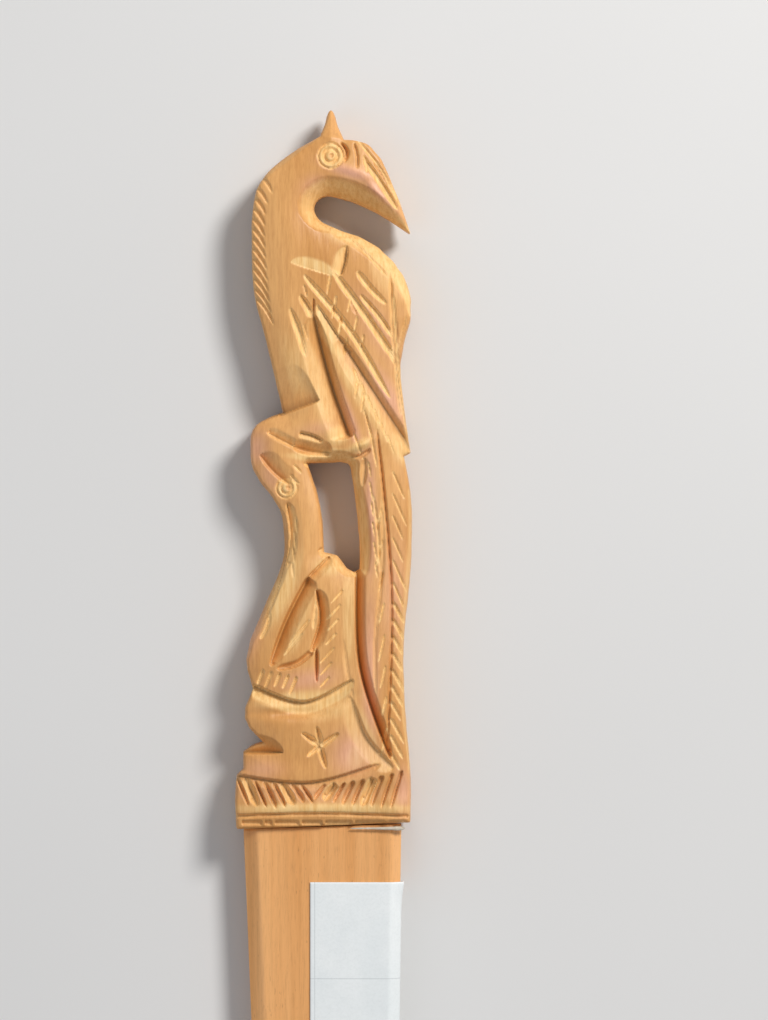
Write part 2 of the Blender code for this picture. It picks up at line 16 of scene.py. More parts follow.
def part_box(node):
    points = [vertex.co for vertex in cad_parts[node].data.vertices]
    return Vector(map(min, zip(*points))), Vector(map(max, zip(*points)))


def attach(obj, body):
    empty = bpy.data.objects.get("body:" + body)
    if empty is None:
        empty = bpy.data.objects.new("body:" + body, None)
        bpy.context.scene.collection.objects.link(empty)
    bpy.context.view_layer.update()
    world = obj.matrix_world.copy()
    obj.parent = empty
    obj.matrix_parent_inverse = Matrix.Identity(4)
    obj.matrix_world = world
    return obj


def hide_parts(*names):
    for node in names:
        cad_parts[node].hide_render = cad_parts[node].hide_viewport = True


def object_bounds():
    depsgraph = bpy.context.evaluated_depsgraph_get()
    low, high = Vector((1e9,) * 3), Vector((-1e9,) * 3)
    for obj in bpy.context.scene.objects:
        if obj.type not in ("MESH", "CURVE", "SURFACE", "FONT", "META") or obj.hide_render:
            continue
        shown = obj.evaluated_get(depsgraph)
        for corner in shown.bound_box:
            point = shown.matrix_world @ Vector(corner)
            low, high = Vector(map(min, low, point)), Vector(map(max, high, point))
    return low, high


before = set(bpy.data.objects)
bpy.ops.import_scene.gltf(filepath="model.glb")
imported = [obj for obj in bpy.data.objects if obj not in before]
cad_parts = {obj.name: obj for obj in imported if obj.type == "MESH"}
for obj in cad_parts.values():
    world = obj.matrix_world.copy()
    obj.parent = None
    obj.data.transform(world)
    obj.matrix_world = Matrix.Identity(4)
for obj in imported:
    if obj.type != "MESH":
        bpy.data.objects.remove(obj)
CAD_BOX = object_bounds()

MM = 0.001

HANDLE_LOW, HANDLE_HIGH = (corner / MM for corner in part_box("carved_handle"))
BLADE_LOW, BLADE_HIGH = (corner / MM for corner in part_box("blade"))
LABEL_LOW, LABEL_HIGH = (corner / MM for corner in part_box("paper_label"))
GLUE_LOW, GLUE_HIGH = (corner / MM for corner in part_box("glue_bead"))
TOP = HANDLE_HIGH.z
MIDDLE = (HANDLE_LOW.z + HANDLE_HIGH.z) / 2

# Mesh spacing of the handle's faces, in millimetres
FRONT_STEP = (0.15, 0.18)
BACK_STEP = (0.35, 0.42)
OUTLINE_STEP = 0.22
SHARP_TURN = 32.0
SOCKET_HALF_WIDTH = 6.6
REACH = 5.0

# The blade's bevels, its thinning to the tip, and the edge's share of its thickness
LEFT_BEVEL = 2.1
RIGHT_BEVEL = 1.4
TIP_THINNING = 1 / 3
EDGE_SHARE = 0.27
BLADE_ROWS = 220
BLADE_COLUMNS = 90
BLADE_REACH = 0.24
ROOT_ZONE = -1.0

# The label's paper
PAPER_THICKNESS = 0.12
PAPER_GAP = 0.05
LABEL_BACK = 7.0
LABEL_ROWS = 120
LABEL_COLUMNS = 60
RULE_INSET = 0.7
RULE_DROP = 14.5
RULE_HALF_WIDTH = 0.05

GLUE_STEPS = 60
GLUE_SIDES = 20

# Overall softness of the carving
CROWN_WIDTH = 5.5
CROWN_DROP = 0.95
EDGE_RADIUS = 0.45
FACET_DEPTH = 0.07
BEVEL_STRIDE = 3
NARROW = 0.9
LAND_DROP = 0.35

# Carved strokes, grouped by the landmark they are measured from. Each has its start and end in millimetres
# from the landmark, the bulge of its arc (positive on the left of the direction), the widths of its walls on
# the right and on the left, its depth, the share of its length over which each end runs out, and how fresh
# the cut looks (0 stained, 1 pale).
STROKES = {
    "crest": {
        "eye_corner": ((1.5, -5), (2, -8), 0.6, (0.25, 0.55), 0.9, (0.35, 0.35), 0.4),
        "cere": ((3.5, -5), (4, -9), 0.2, (0.3, 0.3), 0.5, (0.25, 0.3), 0.3),
        "cere_inner": ((5, -7), (5.5, -9.5), 0.2, (0.35, 0.3), 0.35, (0.25, 0.3), 1),
        "beak_side": ((5, -7.5), (10, -15), 0.2, (0.65, 0.45), 0.5, (0.15, 0.3), 1),
        "beak_line": ((6.5, -8), (8.5, -11.5), 0.1, (0.2, 0.2), 0.4, (0.2, 0.4), 0.1),
        "beak_top": ((4, -4.5), (10.5, -14.5), 0.5, (0.3, 0.3), 0.3, (0.2, 0.4), 0.9),
        "chest_triangle": ((2.5, -20.5), (1.5, -25), 0.2, (1.9, 0.3), 1, (0.5, 0.15), 0.9),
        "chest_leaf": ((-6, -23), (0.5, -25), 0, (0.2, 1.8), 0.14, (0.45, 0.4), 1),
        "shoulder_cut": ((3.5, -19.5), (6.5, -22.5), 0, (0.3, 0.3), 0.35, (0.3, 0.4), 0.5),
        "shoulder_line": ((2.5, -19), (8.5, -25), 0.2, (0.35, 0.35), 0.4, (0.2, 0.2), 0.8),
    },
    "window_right": {
        "main_groove": ((-7, 22), (-1.5, 3.5), -0.4, (3.0, 1.2), 2.0, (0.3, 0.05), 0.25),
        "wing_lower_edge": ((-3.5, 19), (7.5, 2), 0, (2.2, 1.0), 1.2, (0.3, 0), 0.3),
        "wing_band": ((-6.5, 23.5), (-1, 15), 0, (1.2, 0.3), 0.5, (0.3, 0.3), 1),
        "gouge_1": ((-8.5, 28), (4.5, 9.5), 0.9, (0.65, 0.55), 0.5, (0.15, 0.3), 1),
        "gouge_2": ((-4, 28.5), (5.5, 15), 0.2, (0.8, 0.6), 0.55, (0.2, 0.2), 1),
        "gouge_3": ((-0.5, 28.5), (4, 23.5), -0.2, (0.6, 0.6), 0.5, (0.2, 0.4), 1),
        "gouge_4": ((0, 25), (5, 18.5), 0.3, (0.6, 0.4), 0.45, (0.2, 0.3), 0.95),
        "gouge_5": ((1, 21.5), (5.5, 14), 0.3, (0.35, 0.3), 0.35, (0.3, 0.3), 0.9),
        "edge_bundle_1": ((4.5, 28.5), (7.5, 2.5), -0.8, (0.35, 0.35), 0.45, (0.1, 0.1), 0.6),
        "edge_bundle_2": ((5, 25), (7.5, 4), -0.5, (0.25, 0.25), 0.35, (0.15, 0.15), 0.9),
        "edge_bundle_3": ((5.5, 21), (7, 7), -0.4, (0.2, 0.2), 0.3, (0.15, 0.15), 0),
        "ridge_line": ((-4.5, 15.5), (1, -1), -0.3, (0.25, 0.25), 0.25, (0.3, 0.3), 0.8),
        "tail_shaft": ((2.5, 5), (4, -43.5), 1.4, (0.3, 0.35), 0.6, (0.15, 0.15), 0.05),
        "tail_hair_1": ((0.5, 8), (2.5, -1), 0.2, (0.25, 0.25), 0.3, (0.3, 0.3), 0.9),
        "tail_hair_2": ((2, -5), (3, -17), 0.2, (0.3, 0.25), 0.3, (0.3, 0.3), 0.7),
        "dark_chip": ((-1.5, 24.5), (-0.5, 22), 0, (0.5, 0.25), 0.25, (0.4, 0.4), 0),
        "thigh_step": ((-12, 7), (-6, 9.2), 0, (0.3, 6.5), 1.4, (0, 0.35), 0.1),
        "flame_left": ((-10.5, 23), (-8, 15.5), 0.2, (0.8, 0.6), 0.6, (0.4, 0.3), 1),
        "flame_right": ((-9, 25), (-7, 21.5), 0.2, (0.9, 0.35), 0.6, (0.4, 0.2), 1),
        "flame_line": ((-7, 24.5), (-7, 18.5), 0, (0.3, 0.3), 0.6, (0.3, 0.3), 0),
        "claw_under": ((-1.5, 0.6), (1.5, 1.9), -0.3, (0.6, 0.2), 0.6, (0.2, 0.2), 0.3),
        "claw_right": ((0.8, 0.5), (0.3, -4), 0.2, (0.9, 0.4), 0.5, (0.3, 0.5), 0.4),
    },
    "window_left": {
        "foot_line": ((-1.2, 4.3), (2.5, 3.1), 0.2, (1.1, 0.3), 0.75, (0.25, 0.3), 0.7),
        "toe_left": ((-6, 4.4), (-1.8, 2.2), 0, (0.5, 1.2), 0.8, (0.3, 0.15), 0.5),
        "toe_right": ((-2.2, 2.3), (3.8, 1.2), -0.2, (0.9, 1.7), 1.3, (0.3, 0.15), 0.25),
        "cheek": ((-7, 1), (-2.5, -3.5), -0.3, (0.5, 2.2), 1.0, (0.3, 0.2), 0.1),
    },
    "window_foot": {
        "neck_groove": ((-3, 10.5), (-3.2, 0.5), 0.7, (0.25, 1.2), 0.75, (0.15, 0.35), 0.6),
        "lower_neck": ((-2.5, 5), (-7, -8.5), 0.6, (0.3, 0.4), 0.5, (0.3, 0.3), 0.2),
        "back_feather": ((-5.5, -6), (-7, -10), 0.3, (0.35, 0.5), 0.35, (0.5, 0.2), 0.9),
        "hump": ((3.5, 2.5), (0, -1), 0, (0.3, 1.3), 1.2, (0.1, 0.2), 0.2),
        "small_wing_left": ((0.5, -0.5), (-5.5, -14), -0.4, (0.6, 1.9), 2.0, (0.1, 0.35), 0.15),
        "small_wing_right": ((1.5, -2.5), (0.5, -12), 1.0, (0.35, 1.5), 1.8, (0.2, 0.35), 0.3),
        "wing_tip_under": ((-4.5, -14.5), (1, -12), -0.7, (0.3, 0.9), 0.9, (0.3, 0.1), 0.1),
        "inner_feather_1": ((1.5, -4), (1, -8.5), 0, (0.35, 0.3), 0.3, (0.3, 0.3), 0.8),
        "inner_feather_2": ((0.5, -7), (-3, -11.5), 0, (0.4, 0.35), 0.35, (0.3, 0.3), 0.9),
        "inner_feather_3": ((-0.5, -9), (-3.5, -12.5), 0, (0.35, 0.3), 0.3, (0.3, 0.3), 0.9),
        "slit": ((1.5, -11), (1.5, -16.5), 0, (0.4, 0.35), 1, (0.3, 0.5), 0),
        "side_channel": ((7.5, 0.5), (12.5, -28), -2.0, (0.35, 1.35), 2.1, (0, 0.2), 0),
        "rib_left": ((5.5, -10), (7, -19), -0.2, (0.4, 0.4), 0.2, (0.4, 0.3), 0.3),
    },
    "collar": {
        "rib_right": ((4, 20), (10.5, 9), -1.2, (2.2, 0.7), 0.6, (0.35, 0.2), 0.5),
        "saddle_upper": ((-10.5, 21.5), (4.5, 22.5), -3, (2.0, 0.4), 1.1, (0.05, 0.2), 1),
        "plinth_notch": ((-12, 11.5), (-6, 11.5), 0, (0.35, 2.8), 1.9, (0, 0.7), 0.1),
        "collar_top": ((-13, 8), (9, 10), -2.1, (1.2, 0.4), 0.75, (0, 0.2), 0.1),
        "collar_bottom": ((-13.5, 1.9), (12.5, 1.9), 0.4, (0.3, 0.4), 0.45, (0, 0), 0.3),
    },
}

# Bevels along the outline: landmark, where the bevel starts and ends, its widths at the start, middle and
# end, its depth for each width and how fresh it looks. The wood is on the right of the direction of travel.
BEVELS = {
    "head_back": ("crest", (-10.5, -11), (-2, -4), (0.3, 0.8, 0.2), 0.9, 0.1),
    "beak": ("crest", (12, -18.5), (0, -17.5), (0.3, 2.9, 1.2), 0.75, 0.75),
    "shoulder": ("crest", (0, -17.5), (12, -31), (0.9, 2.3, 0.2), 0.55, 0.9),
    "lower_neck": ("window_foot", (-9, -13), (-4, 9.5), (0.3, 1.1, 0.4), 1.2, 0),
    "tail": ("window_right", (7.5, -4.5), (7.5, -47), (0.4, 0.8, 0.2), 0.6, 0.4),
    "window_side": ("window_right", (0, -16), (-1.5, -2), (1.5, 1.8, 1.1), 0.9, 1),
    "window_head": ("window_right", (-1.5, -2), (-8, 0), (1.1, 1.7, 0.8), 1, 0.9),
    "window_base": ("window_foot", (2.5, 3), (7, 0), (0.8, 1.3, 0.9), 0.8, 0.6),
}

# Fine lines that follow the knife's right edge: highest and lowest y, distance from the edge, widths, depth
# and freshness
EDGE_LINES = {
    "wing_outer": (77.0, 62.0, 0.6, (0.3, 0.35), 0.3, 0.4),
    "tail_inner": (50.0, 20.0, 4.2, (0.4, 0.35), 0.3, 0.4),
}

# Rows of ticks: landmark, first and last start, count, the run of each tick, half width, depth and freshness
TICK_ROWS = {
    "wing_upper": ("window_right", (-4.5, 28), (-2, 18.5), 4, (-0.5, -3), 0.3, 0.3, 1),
    "wing_middle": ("window_right", (-1.5, 24.5), (0.5, 19), 3, (-0.4, -2.2), 0.26, 0.28, 0.9),
    "wing_under": ("window_right", (-0.5, 12), (0.5, 10.5), 2, (-0.3, -2.7), 0.3, 0.35, 1),
    "breast": ("window_right", (-8.5, 26.5), (-8.5, 20.5), 2, (0.5, -2), 0.26, 0.28, 0.7),
    "cheek": ("window_left", (-2, -0.5), (-2.5, -2), 2, (1.2, -1.3), 0.3, 0.3, 1),
    "tail_left": ("window_right", (3.2, -7), (4, -40), 8, (-0.8, -3.6), 0.28, 0.28, 0.9),
    "tail_right": ("window_right", (4.8, -21), (4.4, -43.5), 10, (1.8, -3.4), 0.42, 0.34, 0.9),
    "tail_facets": ("window_right", (4.8, -1.5), (4.8, -18), 6, (1.8, -4.2), 0.3, 0.28, 0.8),
    "wing_fuzz": ("window_right", (-1, 14), (4, 4), 6, (1.0, -2.8), 0.2, 0.2, 1),
    "tail_fuzz": ("window_right", (1.2, 0), (2.2, -15), 6, (0.4, -2.6), 0.2, 0.22, 0.9),
    "neck_fuzz": ("window_foot", (-1.6, 8.5), (-2.2, 1.5), 4, (0.2, -2.6), 0.2, 0.2, 0.9),
    "small_wing": ("window_foot", (5.5, -2.5), (3.5, -15.5), 7, (-1.9, -2.1), 0.28, 0.3, 1),
    "small_tail": ("window_foot", (-6.5, -14.5), (-1.5, -15.5), 5, (-1, -2.4), 0.4, 0.4, 0.9),
}

# Eyes: landmark and centre, then radius, half width and depth of each ring, then the pupil's place from the
# centre, radius and depth
EYES = {
    "upper": ("crest", (0, -7), [(1.85, 0.22, 0.4), (1.0, 0.42, 0.5)], (0.15, 0.1, 0.25, 0.3)),
    "lower": ("window_left", (-3, -4), [(1.5, 0.25, 0.35), (0.85, 0.3, 0.35)], (0.35, 0.05, 0.35, 0.5)),
}

# Mane: notches down the back of the neck
MANE_COUNT = 13
MANE_TOP = -10.5
MANE_PITCH = 1.5
MANE_REACH = (1.5, 2.7)

# Star: its arms' directions in degrees and lengths
STAR_CENTRE = (-0.5, 12.5)
STAR_ARMS = [(35, 3.5), (100, 3.0), (145, 3.5), (220, 2.5), (285, 3.5)]

# Fringe: a row on each half of the collar, as first place, last place, count and lean; then its heights
FRINGE_ROWS = [(-12.2, -2.5, 8, 1.9), (-0.5, 11.0, 9, -1.8)]
FRINGE_TOP = 6.8
FRINGE_RISE = 0.012
FRINGE_BOTTOM = 3.3
FRINGE_SWAY = 0.9

# The row of cells at the collar's lower end: where it starts, and the cells' lengths
CELLS_START = -12.5
CELL_LENGTHS = [3.5, 1.5, 4.0, 3.5, 4.5, 5.0, 3.0]

# Freshly cut, pale areas: landmark, centre, radii along and across a direction, the direction and freshness
PALE_PATCHES = [
    ("window_right", (-3.5, 4), (1.5, 1.6), 0, 1), ("window_right", (-4, 1), (3.2, 1), 0, 0.9), ("window_left", (0.5, 0.6), (3.5, 0.6), -5, 1),
    ("window_right", (0, 2.4), (2.0, 0.8), 28, 1), ("window_right", (-6.5, 12), (1.6, 9), 18, 0.7),
    ("window_right", (0.5, 9.5), (1.3, 9), 33, 0.8), ("window_right", (-4.5, 18), (0.9, 4.5), 33, 0.9), ("window_right", (6, 2), (1.5, 3), 30, 0.8),
    ("window_foot", (-3.5, -2.5), (1.6, 6), -22, 0.85), ("window_foot", (3.5, 1), (2.5, 1.4), 0, 0.8),
    ("window_foot", (-1.2, -8), (1.1, 5), -18, 0.6), ("window_foot", (6.3, -6), (0.9, 8), 0, 0.6),
    ("crest", (-1.5, -14), (1.6, 2.6), 0, 0.9), ("crest", (3, -19), (4.5, 1.6), -20, 0.8),
    ("crest", (8, -24), (2, 4), 20, 0.5), ("window_right", (-9.5, 14), (2, 5), 15, 0.5),
    ("collar", (0, 3.1), (14, 0.8), 0, 1), ("collar", (-3, 19.5), (7, 1.3), 4, 0.9),
    ("collar", (1, 18), (3.5, 1.5), 15, 0.5), ("collar", (6.8, 14), (0.8, 5), 20, 0.6),
    ("window_right", (-1.2, -9), (1.1, 7), 0, 0.9), ("collar", (5.5, 11.5), (1.6, 2.6), -30, 0.4),
]

# Rosy areas, partly a pink tint where the wood is handled and partly a painted sheen: landmark, centre, radii
# along and across a direction, the direction and strength
PINK_TINT_AND_SHEEN_PATCHES = [
    ("crest", (3, -9.5), (3.8, 0.9), -18, 1), ("crest", (7.5, -13), (4, 0.8), -50, 1),
    ("crest", (-2.5, -11.5), (2, 1.5), 30, 0.6), ("window_right", (2.5, 20), (2, 6), 30, 0.5),
    ("window_right", (4, 10), (1.5, 5), 30, 0.9), ("window_right", (-1.5, 6), (0.8, 5), 20, 1),
    ("window_right", (1.5, -8), (0.8, 10), 0, 0.9), ("window_right", (5, -20), (2, 8), 0, 0.5),
    ("window_left", (-7.5, 2), (1.8, 2.6), 0, 0.7), ("window_left", (-5.5, -2.5), (1.2, 2.5), 35, 0.5),
    ("window_left", (2, 5), (3, 1), 10, 0.4), ("window_foot", (-8, -9), (1.2, 4), -15, 0.5),
    ("window_foot", (0.5, -16), (4, 1.5), 10, 0.7), ("window_foot", (9.5, -15), (1.2, 12), 0, 0.8),
    ("collar", (4.5, 11.5), (2.8, 3.2), -30, 1), ("collar", (-9, 9), (3, 1.5), 0, 0.5),
    ("collar", (12, 6), (1.2, 3), 0, 0.8), ("collar", (-1, 5.5), (12, 1.2), 0, 0.35),
]

# Swells and hollows: landmark, centre, radii along and across a direction, the direction and the rise
FORMS = [
    ("crest", (-6.5, -19), (4, 8), 0, 0.2), ("crest", (3.5, -9.3), (3.2, 0.8), -18, 0.3), ("crest", (7.5, -13), (3.5, 0.6), -50, 0.25),
    ("window_right", (-4, 4.5), (1.5, 1.3), 0, 0.35), ("window_right", (-8, 5.5), (5, 1.8), 15, 0.3),
    ("window_right", (-12.5, 12), (3, 8), 12, -0.6), ("window_left", (-8.5, 2), (2.5, 5), 0, -0.6),
    ("crest", (-10.5, -30), (3, 12), 0, -0.5), ("window_right", (2, -13), (1.4, 14), 0, 0.25),
    ("window_right", (0, 2.4), (2.0, 0.6), 28, 0.7), ("window_foot", (-5, -9.5), (2.2, 5), -15, 0.2),
    ("window_foot", (4.5, -9.5), (1.6, 8), 0, 0.2), ("window_foot", (1, 8), (1.4, 5), 0, 0.25),
    ("collar", (-1, 10.5), (9, 2.2), 0, -0.25), ("collar", (5.5, 12.5), (2.5, 2.2), -40, -0.3),
    ("collar", (0, 5.5), (14, 1.5), 1, -0.5), ("collar", (0, 3.2), (9, 0.7), 0, 0.15),
    ("collar", (-4.5, 17.4), (4.5, 0.8), 0, -0.75), ("collar", (1, 18.6), (3.5, 0.9), 22, -0.6),
]


# ---------------------------------------------------------------- outlines


def slice_loops(node, height):
    """Closed outlines where a level plane cuts a CAD node, as lists of (x, y) in millimetres."""
    work = bmesh.new()
    work.from_mesh(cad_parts[node].data)
    bmesh.ops.remove_doubles(work, verts=work.verts, dist=1e-7)
    everything = work.verts[:] + work.edges[:] + work.faces[:]
    cut = bmesh.ops.bisect_plane(work, geom=everything, plane_co=(0, 0, height * MM), plane_no=(0, 0, 1))
    edges = [item for item in cut["geom_cut"] if isinstance(item, bmesh.types.BMEdge)]
    neighbours = {}
    for edge in edges:
        a, b = edge.verts
        neighbours.setdefault(a, []).append(b)
        neighbours.setdefault(b, []).append(a)
    loops = []
    left = dict(neighbours)
    while left:
        start = next(iter(left))
        loop, here = [start], start
        del left[start]
        while True:
            ahead = [v for v in neighbours[here] if v in left]
            if not ahead:
                break
            here = ahead[0]
            del left[here]
            loop.append(here)
        loops.append([(v.co.x / MM, v.co.y / MM) for v in loop])
    work.free()
    return [loop for loop in loops if len(loop) > 8]


def without_socket(loop):
    """The outline with the tang's socket closed."""
    depth = BLADE_HIGH.y + 1.0
    return [p for p in loop if not (abs(p[0]) < SOCKET_HALF_WIDTH and p[1] < depth)]


def area(loop):
    """Signed area of a closed outline."""
    p = np.array(loop)
    q = np.roll(p, -1, axis=0)
    return 0.5 * np.sum(p[:, 0] * q[:, 1] - q[:, 0] * p[:, 1])


def thinned(loop, closest=0.12):
    """The outline without points that nearly coincide."""
    kept = [loop[0]]
    for point in loop[1:]:
        if math.dist(point, kept[-1]) > closest:
            kept.append(point)
    if math.dist(kept[0], kept[-1]) < closest:
        kept.pop()
    return kept


def curve_through(a, b, c, d, t):
    """A point between b and c on a Catmull-Rom curve through four points."""
    return tuple(
        0.5 * (2 * q + (r - p) * t + (2 * p - 5 * q + 4 * r - s) * t * t + (3 * q - p - 3 * r + s) * t**3)
        for p, q, r, s in zip(a, b, c, d)
    )


def smooth_loop(loop, step):
    """A closed outline resampled as a smooth curve that keeps its sharp corners."""
    count = len(loop)
    corner = []
    for i, here in enumerate(loop):
        before, after = loop[i - 1], loop[(i + 1) % count]
        into = math.atan2(here[1] - before[1], here[0] - before[0])
        out = math.atan2(after[1] - here[1], after[0] - here[0])
        turn = abs((out - into + math.pi) % (2 * math.pi) - math.pi)
        corner.append(math.degrees(turn) > SHARP_TURN)
    result = []
    for i in range(count):
        b, c = loop[i], loop[(i + 1) % count]
        a = b if corner[i] else loop[i - 1]
        d = c if corner[(i + 1) % count] else loop[(i + 2) % count]
        pieces = max(1, round(math.dist(b, c) / step))
        result += [curve_through(a, b, c, d, k / pieces) for k in range(pieces)]
    return result


def smooth_path(points, step=0.3):
    """An open line of points resampled as a smooth curve; extra numbers on a point are blended too."""
    result = []
    for i in range(len(points) - 1):
        a, b, c = points[max(i - 1, 0)], points[i], points[i + 1]
        d = points[min(i + 2, len(points) - 1)]
        pieces = max(1, round(math.dist(b[:2], c[:2]) / step))
        result += [curve_through(a, b, c, d, k / pieces) for k in range(pieces)]
    result.append(tuple(float(v) for v in points[-1]))
    return np.array(result, float)


def landmarks(loops):
    """Places that the carving is measured from, found on the handle's outline and its window."""
    outer, window = (np.array(loop) for loop in loops)
    low, high = window.min(0), window.max(0)
    return {
        "crest": outer[outer[:, 1].argmax()],
        "window_right": high,
        "window_left": np.array([low[0], high[1]]),
        "window_foot": low,
        "collar": np.array([0.0, HANDLE_LOW.y]),
    }


def arc(start, end, bulge):
    """Start, middle and end of an arc; a positive bulge is on the left of the direction."""
    start, end = np.array(start, float), np.array(end, float)
    along = (end - start) / np.hypot(*(end - start))
    return [tuple(start), tuple((start + end) / 2 + np.array([-along[1], along[0]]) * bulge), tuple(end)]


def stretch(loop, start, end):
    """The part of a closed outline from the point nearest to start to the one nearest to end."""
    p = np.array(loop)
    first = int(np.hypot(*(p - start).T).argmin())
    last = int(np.hypot(*(p - end).T).argmin())
    if last < first:
        p, last = np.vstack((p, p)), last + len(p)
    return p[first:last + 1:BEVEL_STRIDE]


class Outline:
    """The handle's silhouette: closed loops as segments, with distances and inside tests in millimetres."""

    def __init__(self, loops):
        starts, ends, along, owner = [], [], [], []
        for index, loop in enumerate(loops):
            p = np.array(loop, float)
            q = np.roll(p, -1, axis=0)
            lengths = np.hypot(*(q - p).T)
            starts.append(p)
            ends.append(q)
            along.append(np.concatenate(([0.0], np.cumsum(lengths)[:-1])))
            owner.append(np.full(len(p), index))
        self.a = np.vstack(starts)
        self.b = np.vstack(ends)
        self.along = np.concatenate(along)
        self.owner = np.concatenate(owner)
        self.total = [float(np.sum(np.hypot(*(np.roll(np.array(l), -1, axis=0) - np.array(l)).T))) for l in loops]

    def nearest(self, points, reach=REACH):
        """For points that share nearly one y: distance, closest point, loop and length along it."""
        y = points[:, 1]
        low = np.minimum(self.a[:, 1], self.b[:, 1])
        high = np.maximum(self.a[:, 1], self.b[:, 1])
        pick = (low < y.max() + reach) & (high > y.min() - reach)
        a, b = self.a[pick], self.b[pick]
        d = b - a
        square = np.maximum((d**2).sum(1), 1e-12)
        rel = points[:, None, :] - a[None]
        t = np.clip((rel * d[None]).sum(2) / square[None], 0, 1)
        foot = a[None] + t[..., None] * d[None]
        gap = np.hypot(points[:, None, 0] - foot[..., 0], points[:, None, 1] - foot[..., 1])
        best = gap.argmin(1)
        rows = np.arange(len(points))
        length = self.along[pick][best] + t[rows, best] * np.sqrt(square[best])
        return gap[rows, best], foot[rows, best], self.owner[pick][best], length

    def inside(self, xs, y):
        """Which of the places xs on the line of height y lie in the wood."""
        a, b = self.a, self.b
        cross = (a[:, 1] <= y) != (b[:, 1] <= y)
        p, q = a[cross], b[cross]
        where = np.sort(p[:, 0] + (y - p[:, 1]) / (q[:, 1] - p[:, 1]) * (q[:, 0] - p[:, 0]))
        return np.searchsorted(where, xs) % 2 == 1


# ---------------------------------------------------------------- relief


def path_field(x, y, path):
    """For each place: side-signed distance to a path (positive on its left), share of its length, extra value."""
    p, q = path[:-1], path[1:]
    d = q[:, :2] - p[:, :2]
    lengths = np.hypot(d[:, 0], d[:, 1])
    before = np.concatenate(([0.0], np.cumsum(lengths)[:-1]))
    total = lengths.sum()
    best = np.full(x.shape, 1e9)
    side = np.ones(x.shape)
    share = np.zeros(x.shape)
    extra = np.ones(x.shape)
    for i in range(len(d)):
        rx, ry = x - p[i, 0], y - p[i, 1]
        t = np.clip((rx * d[i, 0] + ry * d[i, 1]) / max(lengths[i] ** 2, 1e-12), 0, 1)
        gap = np.hypot(rx - t * d[i, 0], ry - t * d[i, 1])
        nearer = gap < best
        best = np.where(nearer, gap, best)
        side = np.where(nearer, np.sign(d[i, 0] * ry - d[i, 1] * rx), side)
        share = np.where(nearer, (before[i] + t * lengths[i]) / total, share)
        if path.shape[1] > 2:
            extra = np.where(nearer, p[i, 2] + t * (q[i, 2] - p[i, 2]), extra)
    return best * np.where(side == 0, 1, side), share, extra


def run_out(share, ends):
    """1 along a stroke, falling to 0 over its ends in a rounded way."""
    value = np.ones_like(share)
    if ends[0] > 0:
        value = np.minimum(value, share / ends[0])
    if ends[1] > 0:
        value = np.minimum(value, (1 - share) / ends[1])
    return np.sqrt(np.clip(value * (2 - value), 0, 1))


